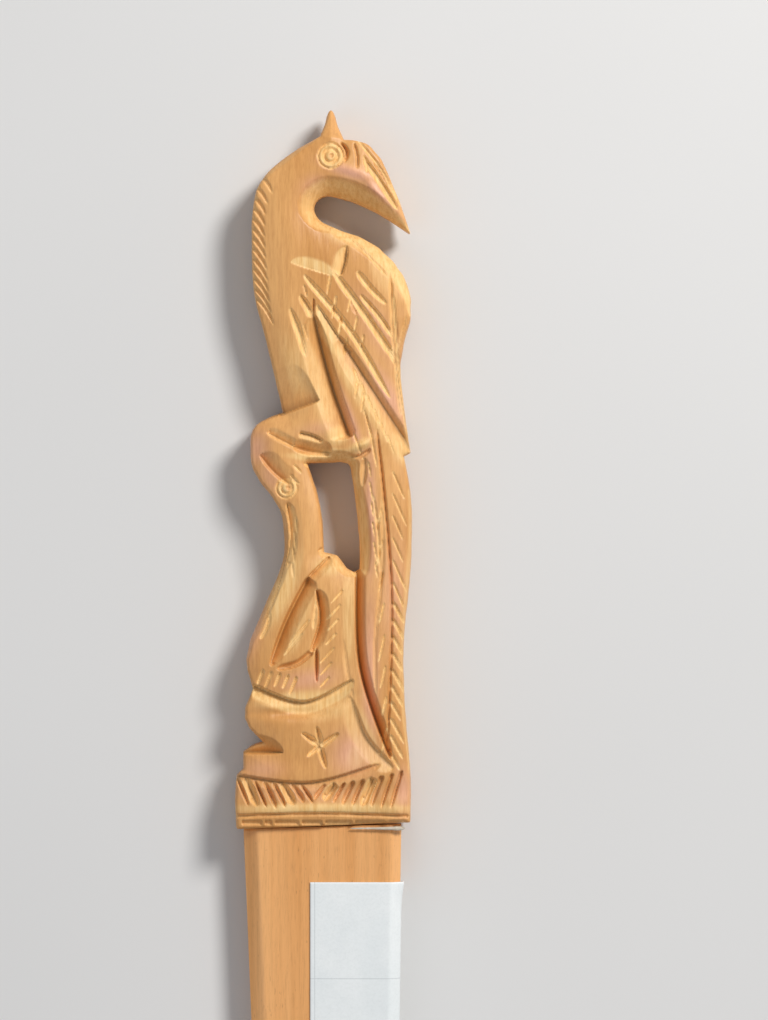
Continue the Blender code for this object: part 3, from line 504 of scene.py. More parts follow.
class Relief:
    """Depths below the land and surface tones at a set of places."""

    def __init__(self, x, y, edge_distance):
        self.x, self.y, self.edge = x, y, edge_distance
        self.form = np.full_like(x, LAND_DROP)
        self.cut = np.zeros_like(x)
        self.tick = np.zeros_like(x)
        self.fresh = np.zeros_like(x)
        # line holds painted shade along the valleys of deeper cuts
        self.line = np.zeros_like(x)
        # Pink tint of handled wood together with a painted sheen on ridges
        self.pink_tint_and_sheen = np.zeros_like(x)

    def near(self, points, margin):
        """Indices of the places near a stroke."""
        low, high = points[:, :2].min(0) - margin, points[:, :2].max(0) + margin
        pick = (self.x > low[0]) & (self.x < high[0]) & (self.y > low[1]) & (self.y < high[1])
        return np.nonzero(pick)[0]

    def lay(self, pick, depth, inward, freshness, small):
        """Record a cut: its depth, how far into it each place is (0 rim, 1 valley), how fresh it is and its
        painted valley shade.
        """
        target = self.tick if small else self.cut
        deeper = depth > target[pick]
        target[pick] = np.where(deeper, depth, target[pick])
        strength = np.clip(inward * 4, 0, 1) * freshness
        self.fresh[pick] = np.where(deeper, np.maximum(strength, 0.2 * self.fresh[pick]), self.fresh[pick])
        # Painted shade: a dark line along the bottom of every cut deeper than half a millimetre
        valley = np.clip((inward - 0.8) / 0.2, 0, 1) * np.clip(depth / 0.5, 0, 1)
        self.line[pick] = np.maximum(self.line[pick], valley)

    def stroke(self, points, widths, depth, ends=(0.3, 0.3), freshness=0.5, small=False):
        """A V cut along a smooth line; widths are those of the walls on its right and on its left."""
        path = smooth_path(points)
        pick = self.near(path, max(widths))
        if not len(pick):
            return
        signed, share, _ = path_field(self.x[pick], self.y[pick], path)
        scale = run_out(share, ends)
        width = np.where(signed < 0, widths[0], widths[1]) * np.maximum(scale, 0.02)
        inward = np.clip(1 - np.abs(signed) / width, 0, 1)
        rounded = np.clip(inward * 1.5, 0, 1)
        profile = np.where(width > NARROW, inward**1.08, rounded * rounded * (3 - 2 * rounded))
        self.lay(pick, depth * scale * profile, inward, freshness, small)

    def bevel(self, edge, widths, steepness, freshness):
        """A flat cut along a stretch of the outline, whose widths ease from start through middle to end."""
        start, middle, end = widths
        pick = self.near(edge, max(widths) + 0.3)
        signed, share, _ = path_field(self.x[pick], self.y[pick], edge)
        width = start + (end - start) * share + (middle - (start + end) / 2) * 4 * share * (1 - share)
        inwards = np.where(signed < 0, -signed, 0.0)
        inward = np.where(np.abs(signed) < width, np.clip(1 - inwards / width, 0, 1), 0)
        self.lay(pick, steepness * width * inward, inward * 0.75, freshness, False)

    def oval(self, centre, radii, degrees):
        """For each place the square of its distance from a turned oval's centre, 1 on the oval."""
        c, s = math.cos(math.radians(degrees)), math.sin(math.radians(degrees))
        u = ((self.x - centre[0]) * c + (self.y - centre[1]) * s) / radii[0]
        v = (-(self.x - centre[0]) * s + (self.y - centre[1]) * c) / radii[1]
        return u * u + v * v

    def pale(self, centre, radii, degrees, freshness):
        """An area that looks freshly cut, with soft edges."""
        self.fresh = np.maximum(self.fresh, freshness * np.exp(-self.oval(centre, radii, degrees) ** 2))

    def paint_pink_and_sheen(self, centre, radii, degrees, strength):
        """A rosy area with soft edges: partly a pink tint of handled wood, partly a painted sheen."""
        self.pink_tint_and_sheen = np.maximum(self.pink_tint_and_sheen, strength * np.exp(-self.oval(centre, radii, degrees)))

    def swell(self, centre, radii, degrees, rise):
        """A soft swell or hollow in the land."""
        self.form -= rise * np.exp(-self.oval(centre, radii, degrees))

    def eye(self, centre, rings, pupil):
        """Ring cuts round a boss, and a pupil pricked in it."""
        gap = np.hypot(self.x - centre[0], self.y - centre[1])
        pick = np.nonzero(gap < rings[0][0] + 0.6)[0]
        for radius, half_width, depth in rings:
            inward = np.clip(1 - np.abs(gap[pick] - radius) / half_width, 0, 1)
            self.lay(pick, depth * inward, inward * 0.9, 0.7, False)
        self.fresh[pick] = np.where(gap[pick] < rings[0][0], np.maximum(self.fresh[pick], 0.9), self.fresh[pick])
        dx, dy, radius, depth = pupil
        gap = np.hypot(self.x - centre[0] - dx, self.y - centre[1] - dy)
        pick = np.nonzero(gap < radius * 1.5)[0]
        inward = np.clip(1 - gap[pick] / (radius * 1.5), 0, 1)
        self.lay(pick, depth * inward, inward, 0.3, True)

    def soft_edges(self):
        """The crown of the land and the rounding of every edge."""
        share = np.clip(1 - self.edge / CROWN_WIDTH, 0, 1)
        self.form += CROWN_DROP * share**2.2
        close = np.clip(1 - self.edge / EDGE_RADIUS, 0, 1)
        self.form += EDGE_RADIUS * (1 - np.sqrt(np.clip(1 - close**2, 0, 1)))

    def slope(self, hinge, run, drop, lowest):
        """The land falls beyond a hinge line, on its left side, where it lies above a lowest y."""
        start, end = np.array(hinge[0]), np.array(hinge[1])
        along = (end - start) / np.hypot(*(end - start))
        beyond = along[0] * (self.y - start[1]) - along[1] * (self.x - start[0])
        self.form += np.where(self.y > lowest, drop * np.clip(beyond / run, 0, 1), 0)

    def depth(self):
        """Total depth below the top of the board."""
        return self.form + self.cut + self.tick


def wobble(x, y, seed, scale_x, scale_y):
    """Smooth noise of about -1 to 1 at each place."""
    return np.array([
        noise.noise(Vector((a * scale_x + seed, b * scale_y - seed, seed * 1.7)))
        for a, b in zip(x, y)
    ])


def carve(x, y, edge_distance, seed, loops, marks):
    """The relief of one face."""
    relief = Relief(x, y, edge_distance)
    relief.soft_edges()
    outer, window = loops

    def at(mark, offset):
        return (marks[mark][0] + offset[0], marks[mark][1] + offset[1])

    for mark, centre, radii, degrees, rise in FORMS:
        relief.swell(at(mark, centre), radii, degrees, rise)
    beak_low = marks["crest"][1] - 19.2
    relief.slope([at("crest", (-2, -4)), at("crest", (2.5, -4.5))], 4.5, 2.4, beak_low)
    relief.slope([at("crest", (11.5, -11)), at("crest", (6.5, -14.5))], 8.0, 1.6, beak_low)
    for name, (mark, start, end, widths, steepness, freshness) in BEVELS.items():
        edge = stretch(window if name.startswith("window") else outer, at(mark, start), at(mark, end))
        relief.bevel(edge, widths, steepness, freshness)
    for mark, group in STROKES.items():
        for start, end, bulge, widths, depth, ends, freshness in group.values():
            relief.stroke(arc(at(mark, start), at(mark, end), bulge), widths, depth, ends, freshness)
    for mark, centre, rings, pupil in EYES.values():
        relief.eye(at(mark, centre), rings, pupil)
    carve_edge_lines(relief, outer)
    carve_tick_rows(relief, at)
    carve_star(relief)
    carve_collar(relief)
    carve_mane(relief, outer, marks)
    for mark, centre, radii, degrees, freshness in PALE_PATCHES:
        relief.pale(at(mark, centre), radii, degrees, freshness)
    for mark, centre, radii, degrees, strength in PINK_TINT_AND_SHEEN_PATCHES:
        relief.paint_pink_and_sheen(at(mark, centre), radii, degrees, strength)
    relief.form += FACET_DEPTH * wobble(x, y, seed, 0.55, 0.16)
    relief.form += 0.02 * wobble(x, y, seed + 9, 2.6, 0.5)
    return relief


def edge_at(outer, y, side):
    """Where the outline crosses a height on its left (side -1) or right (side 1)."""
    p = np.array(outer)
    q = np.roll(p, -1, axis=0)
    cross = (p[:, 1] <= y) != (q[:, 1] <= y)
    p, q = p[cross], q[cross]
    where = p[:, 0] + (y - p[:, 1]) / (q[:, 1] - p[:, 1]) * (q[:, 0] - p[:, 0])
    return where.max() if side > 0 else where.min()


def carve_edge_lines(relief, outer):
    """Lines that keep their distance from the knife's right edge."""
    for high, low, inset, widths, depth, freshness in EDGE_LINES.values():
        heights = np.linspace(high, low, 9)
        points = [(edge_at(outer, y, 1) - inset, y) for y in heights]
        relief.stroke(points, widths, depth, (0.12, 0.15), freshness)


def carve_tick_rows(relief, at):
    """Rows of small slanting cuts, each a little unlike the one before."""
    for mark, first, last, count, run, half_width, depth, freshness in TICK_ROWS.values():
        for index in range(count):
            share = index / (count - 1)
            length = 1 + 0.18 * math.sin(index * 1.9)
            offset = (first[0] + (last[0] - first[0]) * share, first[1] + (last[1] - first[1]) * share)
            start = at(mark, offset)
            end = (start[0] + run[0] * length, start[1] + run[1] * length)
            widths = (half_width * 0.7, half_width)
            relief.stroke([start, end], widths, depth, (0.2, 0.5), freshness, small=True)


def carve_star(relief):
    """The star's wedges."""
    for degrees, length in STAR_ARMS:
        angle = math.radians(degrees)
        tip = (STAR_CENTRE[0] + length * math.cos(angle), STAR_CENTRE[1] + length * math.sin(angle))
        relief.stroke(arc(STAR_CENTRE, tip, 0), (0.7, 0.5), 0.8, (0.1, 0.7), 0.9)


def carve_collar(relief):
    """The fringe between the collar's grooves and the row of cells under them."""
    for first, last, count, lean in FRINGE_ROWS:
        for index in range(count):
            x = first + (last - first) * index / (count - 1)
            broad = index % 4 == 1
            top = FRINGE_TOP + FRINGE_RISE * (x + 2) ** 2
            bottom = FRINGE_BOTTOM + FRINGE_SWAY * max(0.0, 1 - (x / 6) ** 2) + 0.2 * math.sin(index * 1.3 + 1)
            start, end = (x - lean / 2, top), (x + lean / 2, bottom)
            wide, narrow = 0.6 + 0.2 * math.sin(index * 2.3), 0.25
            widths = (0.95, 0.85) if broad else (narrow, wide) if lean > 0 else (wide, narrow)
            relief.stroke([start, end], widths, 1.0 if broad else 0.8, (0.12, 0.45), 0.8 if broad else 0.25)
    left = CELLS_START
    for length in CELL_LENGTHS:
        relief.stroke([(left + 0.2, 1.0), (left + length - 0.15, 1.0)], (0.45, 0.4), 0.45, (0.04, 0.04), 0.3)
        left += length


def carve_mane(relief, outer, marks):
    """Slanting notches down the back of the neck."""
    for index in range(MANE_COUNT):
        y = marks["crest"][1] + MANE_TOP - index * MANE_PITCH
        x = edge_at(outer, y, -1)
        reach = MANE_REACH[0] + (MANE_REACH[1] - MANE_REACH[0]) * index / (MANE_COUNT - 1)
        points = [(x - 0.4, y + 0.6), (x + reach * 0.5, y - 0.55 * reach), (x + reach, y - 1.45 * reach)]
        relief.stroke(points, (0.2, 0.55), 0.34, (0, 0.7), 0.4, small=True)


# ---------------------------------------------------------------- handle mesh


def face_grid(outline, step):
    """A face of the handle as places and triangles that end exactly on the outline.

    Returns x, y, distance to the edge and polygons.
    """
    xs = np.arange(HANDLE_LOW.x - 2 * step[0], HANDLE_HIGH.x + 2 * step[0], step[0])
    ys = np.arange(HANDLE_LOW.y - 2 * step[1], HANDLE_HIGH.y + 2 * step[1], step[1])
    shape = (len(ys), len(xs))
    px, py = np.meshgrid(xs, ys)
    signed = np.zeros(shape)
    for j, y in enumerate(ys):
        row = np.column_stack((xs, np.full(len(xs), y)))
        gap, foot, _, _ = outline.nearest(row)
        signed[j] = np.where(outline.inside(xs, y), gap, -gap)
        snap = gap < 0.28 * min(step)
        px[j, snap], py[j, snap] = foot[snap, 0], foot[snap, 1]
        signed[j, snap] = 0.0
    inside = signed >= 0

    places, key_of = [], {}

    def place_at(j, i):
        key = (j, i)
        if key not in key_of:
            key_of[key] = len(places)
            places.append((px[j, i], py[j, i], signed[j, i]))
        return key_of[key]

    def crossing(a, b):
        """The place on the outline between an inner and an outer grid point."""
        if signed[a] == 0:
            return place_at(*a)
        key = (a, b)
        if key not in key_of:
            share = signed[a] / (signed[a] - signed[b])
            key_of[key] = len(places)
            places.append((
                px[a] + share * (px[b] - px[a]),
                py[a] + share * (py[b] - py[a]),
                0.0,
            ))
        return key_of[key]

    polygons = []
    cells = inside[:-1, :-1].astype(int) + inside[:-1, 1:] + inside[1:, 1:] + inside[1:, :-1]
    for j, i in zip(*np.nonzero(cells)):
        corners = [(j, i), (j, i + 1), (j + 1, i + 1), (j + 1, i)]
        if cells[j, i] == 4:
            polygons.append([place_at(*corner) for corner in corners])
            continue
        ring = []
        for k in range(4):
            here, ahead = corners[k], corners[(k + 1) % 4]
            if inside[here]:
                ring.append(place_at(*here))
                if not inside[ahead]:
                    ring.append(crossing(here, ahead))
            elif inside[ahead]:
                ring.append(crossing(ahead, here))
        ring = [v for k, v in enumerate(ring) if v != ring[k - 1]]
        if len(ring) >= 3:
            polygons.append(ring)
    places = np.array(places)
    return places[:, 0], places[:, 1], np.abs(places[:, 2]), polygons


def boundary_loops(polygons):
    """The closed edges of a face, as lists of place numbers."""
    directed = set()
    for ring in polygons:
        for a, b in zip(ring, ring[1:] + ring[:1]):
            directed.add((a, b))
    ahead = {}
    for a, b in directed:
        if (b, a) not in directed:
            ahead.setdefault(a, []).append(b)
    loops = []
    while ahead:
        start = next(iter(ahead))
        loop = [start]
        while True:
            options = ahead[loop[-1]]
            step = options.pop()
            if not options:
                del ahead[loop[-1]]
            if step == start:
                break
            loop.append(step)
        loops.append(loop)
    return loops


def split_faces(polygons, z):
    """Triangles for every polygon; a four-sided one is split along the diagonal that fits its valley or ridge."""
    triangles = []
    for ring in polygons:
        if len(ring) == 4 and abs(z[ring[1]] - z[ring[3]]) < abs(z[ring[0]] - z[ring[2]]):
            ring = ring[1:] + ring[:1]
        for k in range(1, len(ring) - 1):
            triangles.append((ring[0], ring[k], ring[k + 1]))
    return triangles


def zip_loops(upper, lower, total):
    """Triangles between two closed loops of (place, length along the outline), both in growing length."""
    upper = upper + [(upper[0][0], upper[0][1] + total)]
    lower = lower + [(lower[0][0], lower[0][1] + total)]
    triangles = []
    i = j = 0
    while i < len(upper) - 1 or j < len(lower) - 1:
        at_end = j == len(lower) - 1
        if at_end or (i < len(upper) - 1 and upper[i + 1][1] <= lower[j + 1][1]):
            triangles.append((upper[i][0], lower[j][0], upper[i + 1][0]))
            i += 1
        else:
            triangles.append((upper[i][0], lower[j][0], lower[j + 1][0]))
            j += 1
    return triangles


def make_handle(outline, loops, marks):
    """The carved handle as one closed mesh: two carved faces joined by its side walls."""
    parts = []
    for step, seed in ((FRONT_STEP, 3.0), (BACK_STEP, 17.0)):
        x, y, edge, polygons = face_grid(outline, step)
        relief = carve(x, y, edge, seed, loops, marks)
        parts.append((x, y, relief, polygons))
    xf, yf, front, front_polygons = parts[0]
    xb, yb, back, back_polygons = parts[1]
    zf = TOP - front.depth()
    zb = HANDLE_LOW.z + np.maximum(back.depth() * 0.9, 0.0)
    zb = np.minimum(zb, MIDDLE - 1.0)
    zf = np.maximum(zf, MIDDLE + 1.0)
    points = [np.column_stack((xf, yf, zf)), np.column_stack((xb, yb, zb))]
    # Tones per place: freshness, painted valley shade, cut depth that drives painted shade, and pink tint with
    # painted sheen
    tones = [
        np.column_stack((front.fresh, front.line, front.cut + front.tick, front.pink_tint_and_sheen)),
        np.column_stack((back.fresh, back.line, back.cut + back.tick, back.pink_tint_and_sheen)),
    ]
    offset = len(xf)
    count = offset + len(xb)
    triangles = split_faces(front_polygons, zf)
    triangles += [tuple(reversed([v + offset for v in t])) for t in split_faces(back_polygons, zb)]

    def measured(loops, x, y):
        """Each loop with the outline loop it follows and the length along it, in growing length."""
        result = []
        for loop in loops:
            lengths, owners = [], []
            for v in loop:
                _, _, owner, length = outline.nearest(np.array([[x[v], y[v]]]), reach=1.0)
                lengths.append(float(length[0]))
                owners.append(int(owner[0]))
            owner = max(set(owners), key=owners.count)
            total = outline.total[owner]
            rises = sum(((b - a + total / 2) % total) - total / 2 for a, b in zip(lengths, lengths[1:]))
            if rises < 0:
                loop, lengths = loop[::-1], lengths[::-1]
            first = min(range(len(loop)), key=lambda k: lengths[k])
            loop, lengths = loop[first:] + loop[:first], lengths[first:] + lengths[:first]
            result.append((owner, loop, np.maximum.accumulate(lengths)))
        return result

    front_loops = measured(boundary_loops(front_polygons), xf, yf)
    back_loops = {}
    for owner, loop, lengths in measured(boundary_loops(back_polygons), xb, yb):
        back_loops[owner] = (loop, lengths)
    for owner, loop, lengths in front_loops:
        total = outline.total[owner]
        turns_left = area(np.column_stack((xf[loop], yf[loop]))) > 0
        outside = 1 if turns_left == (owner == 0) else -1
        rings = [loop]
        for share in (0.12, 0.4, 0.7):
            ring = list(range(count, count + len(loop)))
            count += len(loop)
            fx, fy, fz = xf[loop], yf[loop], zf[loop]
            wave = 0.05 * wobble(fx * 1.0 + share * 7, fy, 31.0, 0.5, 0.5)
            along_x, along_y = np.roll(fx, -2) - np.roll(fx, 2), np.roll(fy, -2) - np.roll(fy, 2)
            norm = np.maximum(np.hypot(along_x, along_y), 1e-6)
            outwards = outside * np.column_stack((along_y, -along_x)) / norm[:, None]
            bulge = 0.1 * math.sin(share * math.pi)
            place = np.column_stack((fx, fy)) + outwards * (bulge + wave)[:, None]
            floor = HANDLE_LOW.z + 1.2
            points.append(np.column_stack((place, fz + (floor - fz) * share)))
            cut = 0.85 if owner == 1 else 0.25
            fresh = front.fresh[loop] * (1 - share) + cut * share
            pink_tint_and_sheen = front.pink_tint_and_sheen[loop] * (1 - share)
            tones.append(np.column_stack((fresh, np.zeros(len(loop)), np.full(len(loop), 0.3), pink_tint_and_sheen)))
            rings.append(ring)
        walls = []
        for upper, lower in zip(rings, rings[1:]):
            for k in range(len(loop)):
                ahead = (k + 1) % len(loop)
                walls += [(upper[k], lower[k], lower[ahead]), (upper[k], lower[ahead], upper[ahead])]
        back_loop, back_lengths = back_loops[owner]
        top_ring = list(zip(rings[-1], lengths))
        low_ring = [(v + offset, length) for v, length in zip(back_loop, back_lengths)]
        walls += zip_loops(top_ring, low_ring, total)
        triangles += walls
    return np.vstack(points), np.vstack(tones), triangles


def mesh_object(name, points, triangles, tones=None):
    """An object from places in millimetres and faces; normals are made to point out."""
    mesh = bpy.data.meshes.new(name)
    mesh.from_pydata((np.asarray(points) * MM).tolist(), [], [tuple(int(v) for v in t) for t in triangles])
    if tones is not None:
        # valley and hollow drive painted shade in the cuts; the fourth tone is a pink tint with painted sheen
        for index, label in enumerate(("fresh", "valley", "hollow", "pink_tint_and_sheen")):
            layer = mesh.attributes.new(label, "FLOAT", "POINT")
            layer.data.foreach_set("value", tones[:, index].astype(np.float32))
    mesh.validate()
    work = bmesh.new()
    work.from_mesh(mesh)
    bmesh.ops.recalc_face_normals(work, faces=work.faces)
    work.to_mesh(mesh)
    work.free()
    mesh.shade_smooth()
    item = bpy.data.objects.new(name, mesh)
    bpy.context.scene.collection.objects.link(item)
    return item


# ---------------------------------------------------------------- materials


class Nodes:
    """Short forms for building a material's node tree."""

    def __init__(self, name):
        self.material = bpy.data.materials.new(name)
        self.material.use_nodes = True
        self.tree = self.material.node_tree
        self.shader = self.tree.nodes["Principled BSDF"]

    def add(self, kind, **values):
        node = self.tree.nodes.new(kind)
        for key, value in values.items():
            if hasattr(node, key):
                setattr(node, key, value)
            else:
                node.inputs[key.replace("_", " ")].default_value = value
        return node

    def link(self, out, socket):
        self.tree.links.new(out, socket)

    def place(self, scale):
        """Object coordinates, stretched."""
        coordinates = self.add("ShaderNodeTexCoord")
        mapping = self.add("ShaderNodeMapping")
        mapping.inputs["Scale"].default_value = scale
        self.link(coordinates.outputs["Object"], mapping.inputs["Vector"])
        return mapping.outputs["Vector"]

    def noise(self, scale, detail=3.0, rough=0.55, distortion=0.0):
        node = self.add("ShaderNodeTexNoise")
        node.inputs["Scale"].default_value = 1.0
        node.inputs["Detail"].default_value = detail
        node.inputs["Roughness"].default_value = rough
        node.inputs["Distortion"].default_value = distortion
        self.link(self.place(scale), node.inputs["Vector"])
        return node.outputs["Fac"]

    def spread(self, value, low, high, to_low=0.0, to_high=1.0):
        node = self.add("ShaderNodeMapRange")
        node.inputs["From Min"].default_value = low
        node.inputs["From Max"].default_value = high
        node.inputs["To Min"].default_value = to_low
        node.inputs["To Max"].default_value = to_high
        self.link(value, node.inputs["Value"])
        return node.outputs["Result"]

    def math(self, operation, a, b):
        node = self.add("ShaderNodeMath", operation=operation)
        for socket, value in zip(node.inputs, (a, b)):
            if isinstance(value, (int, float)):
                socket.default_value = value
            else:
                self.link(value, socket)
        return node.outputs["Value"]

    def mix(self, share, a, b, blend="MIX"):
        node = self.add("ShaderNodeMix", data_type="RGBA", blend_type=blend)
        sockets = [s for s in node.inputs if s.enabled]
        for socket, value in zip(sockets, (share, a, b)):
            if isinstance(value, (int, float)):
                socket.default_value = value
            elif isinstance(value, tuple):
                socket.default_value = (*value, 1.0)
            else:
                self.link(value, socket)
        return [s for s in node.outputs if s.enabled][0]

    def attribute(self, name):
        node = self.add("ShaderNodeAttribute", attribute_type="GEOMETRY", attribute_name=name)
        return node.outputs["Fac"]

    def bump(self, height, strength, distance):
        node = self.add("ShaderNodeBump")
        node.inputs["Strength"].default_value = strength
        node.inputs["Distance"].default_value = distance
        self.link(height, node.inputs["Height"])
        self.link(node.outputs["Normal"], self.shader.inputs["Normal"])


def carved_wood():
    """Light carving wood: pinkish tan with a painted sheen where hands have polished it, pale yellow in the cuts,
    and painted brown shade in deep cuts and their valleys.
    """
    n = Nodes("carved_wood")
    broad = n.noise((110, 30, 80), 2.0)
    grain = n.noise((2300, 170, 1500), 4.0, 0.55)
    fibre = n.noise((6500, 620, 4200), 3.0, 0.6)
    tan = n.mix(n.spread(broad, 0.35, 0.65), (0.70, 0.335, 0.10), (0.83, 0.435, 0.15))
    # Pink tint of handled wood mixed with a painted sheen on ridges and rounded lands
    handled_and_sheen = n.mix(n.math("MULTIPLY", n.attribute("pink_tint_and_sheen"), 0.85), tan, (0.89, 0.46, 0.31))
    fresh = n.mix(n.spread(grain, 0.3, 0.7), (0.96, 0.575, 0.20), (0.99, 0.67, 0.30))
    surface = n.mix(n.attribute("fresh"), handled_and_sheen, fresh)
    streaks = n.spread(grain, 0.36, 0.64, 0.87, 1.05)
    speck = n.spread(fibre, 0.36, 0.6, 0.89, 1.03)
    shade = n.math("MULTIPLY", streaks, speck)
    tinted = n.mix(1.0, surface, n.mix(shade, (0.35, 0.12, 0), (1, 1, 1)), "MULTIPLY")
    # Painted shade: the deeper the cut, the darker its colour, less so where the cut is fresh and pale
    kept = n.spread(n.attribute("fresh"), 0, 1, 1, 0.25)
    deep = n.math("MULTIPLY", n.spread(n.attribute("hollow"), 0.4, 1.8), kept)
    shadow = n.mix(deep, (1, 1, 1), (0.80, 0.71, 0.52))
    hollow = n.mix(1.0, tinted, shadow, "MULTIPLY")
    # Painted shade: a dark brown line along the valleys of deeper cuts
    valley_shaded = n.mix(n.math("MULTIPLY", n.attribute("valley"), 0.6), hollow, (0.24, 0.125, 0.04))
    n.link(valley_shaded, n.shader.inputs["Base Color"])
    worn = n.spread(broad, 0.3, 0.7, 0.38, 0.5)
    n.link(n.math("ADD", worn, n.math("MULTIPLY", n.attribute("fresh"), 0.15)), n.shader.inputs["Roughness"])
    n.shader.inputs["Specular IOR Level"].default_value = 0.45
    n.bump(n.math("ADD", grain, n.math("MULTIPLY", fibre, 0.6)), 0.32, 0.00008)
    return n.material


def blade_wood():
    """Orange wood with a straight grain, planed and lightly polished, with fine open pores."""
    n = Nodes("blade_wood")
    broad = n.noise((300, 8, 120), 2.0, 0.5)
    grain = n.noise((2100, 60, 1200), 4.0, 0.55)
    fibre = n.noise((6500, 420, 3600), 3.0, 0.6)
    flecks = n.noise((3600, 800, 3000), 1.0, 0.4)
    base = n.mix(n.spread(broad, 0.35, 0.65), (0.80, 0.365, 0.115), (0.93, 0.475, 0.18))
    streaks = n.spread(grain, 0.36, 0.64, 0.92, 1.03)
    pores = n.spread(fibre, 0.33, 0.5, 0.88, 1.0)
    shade = n.math("MULTIPLY", n.math("MULTIPLY", streaks, pores), n.spread(flecks, 0.22, 0.30, 0.78, 1.0))
    tinted = n.mix(1.0, base, n.mix(shade, (0, 0, 0), (1, 1, 1)), "MULTIPLY")
    n.link(tinted, n.shader.inputs["Base Color"])
    n.link(n.spread(grain, 0.3, 0.7, 0.34, 0.46), n.shader.inputs["Roughness"])
    n.shader.inputs["Specular IOR Level"].default_value = 0.45
    n.bump(n.math("ADD", grain, n.math("MULTIPLY", fibre, 0.5)), 0.18, 0.00005)
    return n.material


def label_paper():
    """White label paper with faint fibres and thin printed rules."""
    n = Nodes("label_paper")
    fibre = n.noise((2600, 2600, 2600), 4.0, 0.7)
    cloud = n.noise((160, 120, 160), 2.0)
    white = n.mix(n.spread(cloud, 0.35, 0.65), (0.84, 0.88, 0.885), (0.89, 0.92, 0.92))
    tinted = n.mix(n.spread(fibre, 0.42, 0.75, 0.0, 0.25), white, (0.62, 0.66, 0.66))
    coordinates = n.add("ShaderNodeTexCoord")
    parts = n.add("ShaderNodeSeparateXYZ")
    n.link(coordinates.outputs["Object"], parts.inputs["Vector"])
    margin = (LABEL_LOW.x + RULE_INSET) * MM
    across = n.math("ABSOLUTE", n.math("SUBTRACT", parts.outputs["X"], margin), 0)
    down = n.math("ABSOLUTE", n.math("SUBTRACT", parts.outputs["Y"], (LABEL_HIGH.y - RULE_DROP) * MM), 0)
    rules = n.math("LESS_THAN", n.math("MINIMUM", across, down), RULE_HALF_WIDTH * MM)
    ruled = n.mix(n.math("MULTIPLY", rules, 0.5), tinted, (0.42, 0.45, 0.47))
    n.link(ruled, n.shader.inputs["Base Color"])
    n.shader.inputs["Roughness"].default_value = 0.7
    n.bump(fibre, 0.2, 0.00005)
    return n.material


def clear_glue():
    """Dried, slightly cloudy glue."""
    n = Nodes("clear_glue")
    cloud = n.noise((900, 900, 900), 3.0)
    colour = n.mix(n.spread(cloud, 0.35, 0.65), (0.72, 0.65, 0.52), (0.84, 0.79, 0.68))
    n.link(colour, n.shader.inputs["Base Color"])
    n.shader.inputs["Roughness"].default_value = 0.4
    n.shader.inputs["Transmission Weight"].default_value = 0.25
    n.shader.inputs["IOR"].default_value = 1.45
    n.bump(cloud, 0.2, 0.0001)
    return n.material


def pale_floor():
    """Smooth pale studio floor."""
    n = Nodes("pale_floor")
    cloud = n.noise((6, 6, 6), 2.0)
    colour = n.mix(n.spread(cloud, 0.3, 0.7), (0.74, 0.735, 0.725), (0.78, 0.775, 0.765))
    n.link(colour, n.shader.inputs["Base Color"])
    n.shader.inputs["Roughness"].default_value = 0.85
    return n.material


# ---------------------------------------------------------------- other pieces


def blade_edges(loop):
    """The blade's left and right edges as functions of y, and the y of its two upper corners."""
    p = np.array(loop)
    tip = p[p[:, 1].argmin()]
    sides = []
    for sign in (-1, 1):
        long_edge = p[(p[:, 1] < ROOT_ZONE) & ((p[:, 0] - tip[0]) * sign >= 0)]
        root = p[(p[:, 1] >= ROOT_ZONE)]
        corner = root[(root[:, 0] * sign).argmax()]
        side = np.vstack((long_edge, corner))
        sides.append(side[side[:, 1].argsort()])
    left, right = sides

    def at(side):
        return lambda y: float(np.interp(y, side[:, 1], side[:, 0]))

    return at(left), at(right), left[-1, 1], right[-1, 1]


def half_thickness(y):
    """Half the blade's thickness, which shrinks evenly to its tip."""
    root = BLADE_HIGH.z - MIDDLE
    return root * (1 - TIP_THINNING * min(1.0, max(0.0, y / BLADE_LOW.y)))


def soft_least(a, b, softness):
    """The smaller of two values, with the crease between them rounded."""
    return 0.5 * (a + b - math.sqrt((a - b) ** 2 + softness**2))


def blade_height(x, y, left, right):
    """The blade surface's height over the middle plane."""
    top = half_thickness(y)
    flat = top * EDGE_SHARE
    narrow = min(1.0, (right - left) / 6)
    rise_left = flat + (x - left) / (LEFT_BEVEL * narrow) * (top - flat)
    rise_right = flat + (right - x) / (RIGHT_BEVEL * narrow) * (top - flat)
    wave = 0.02 * noise.noise(Vector((x * 0.3, y * 0.07, 4.0)))
    return max(0.04, soft_least(soft_least(rise_left, rise_right, 0.12), top - 0.02 + wave, 0.12))


def closed_loft(rings):
    """Places and triangles of a closed skin through rings with equal counts, with a fan over each end."""
    count = len(rings[0])
    points = np.vstack(rings)
    triangles = []
    for row in range(len(rings) - 1):
        for k in range(count):
            ahead = (k + 1) % count
            a, b = row * count + k, row * count + ahead
            triangles += [(a, b, b + count), (a, b + count, a + count)]
    for first, order in ((0, 1), (len(points) - count, -1)):
        centre = len(points)
        points = np.vstack((points, points[first:first + count].mean(0)))
        for k in range(count):
            face = (centre, first + k, first + (k + 1) % count)
            triangles.append(face[::order])
    return points, triangles


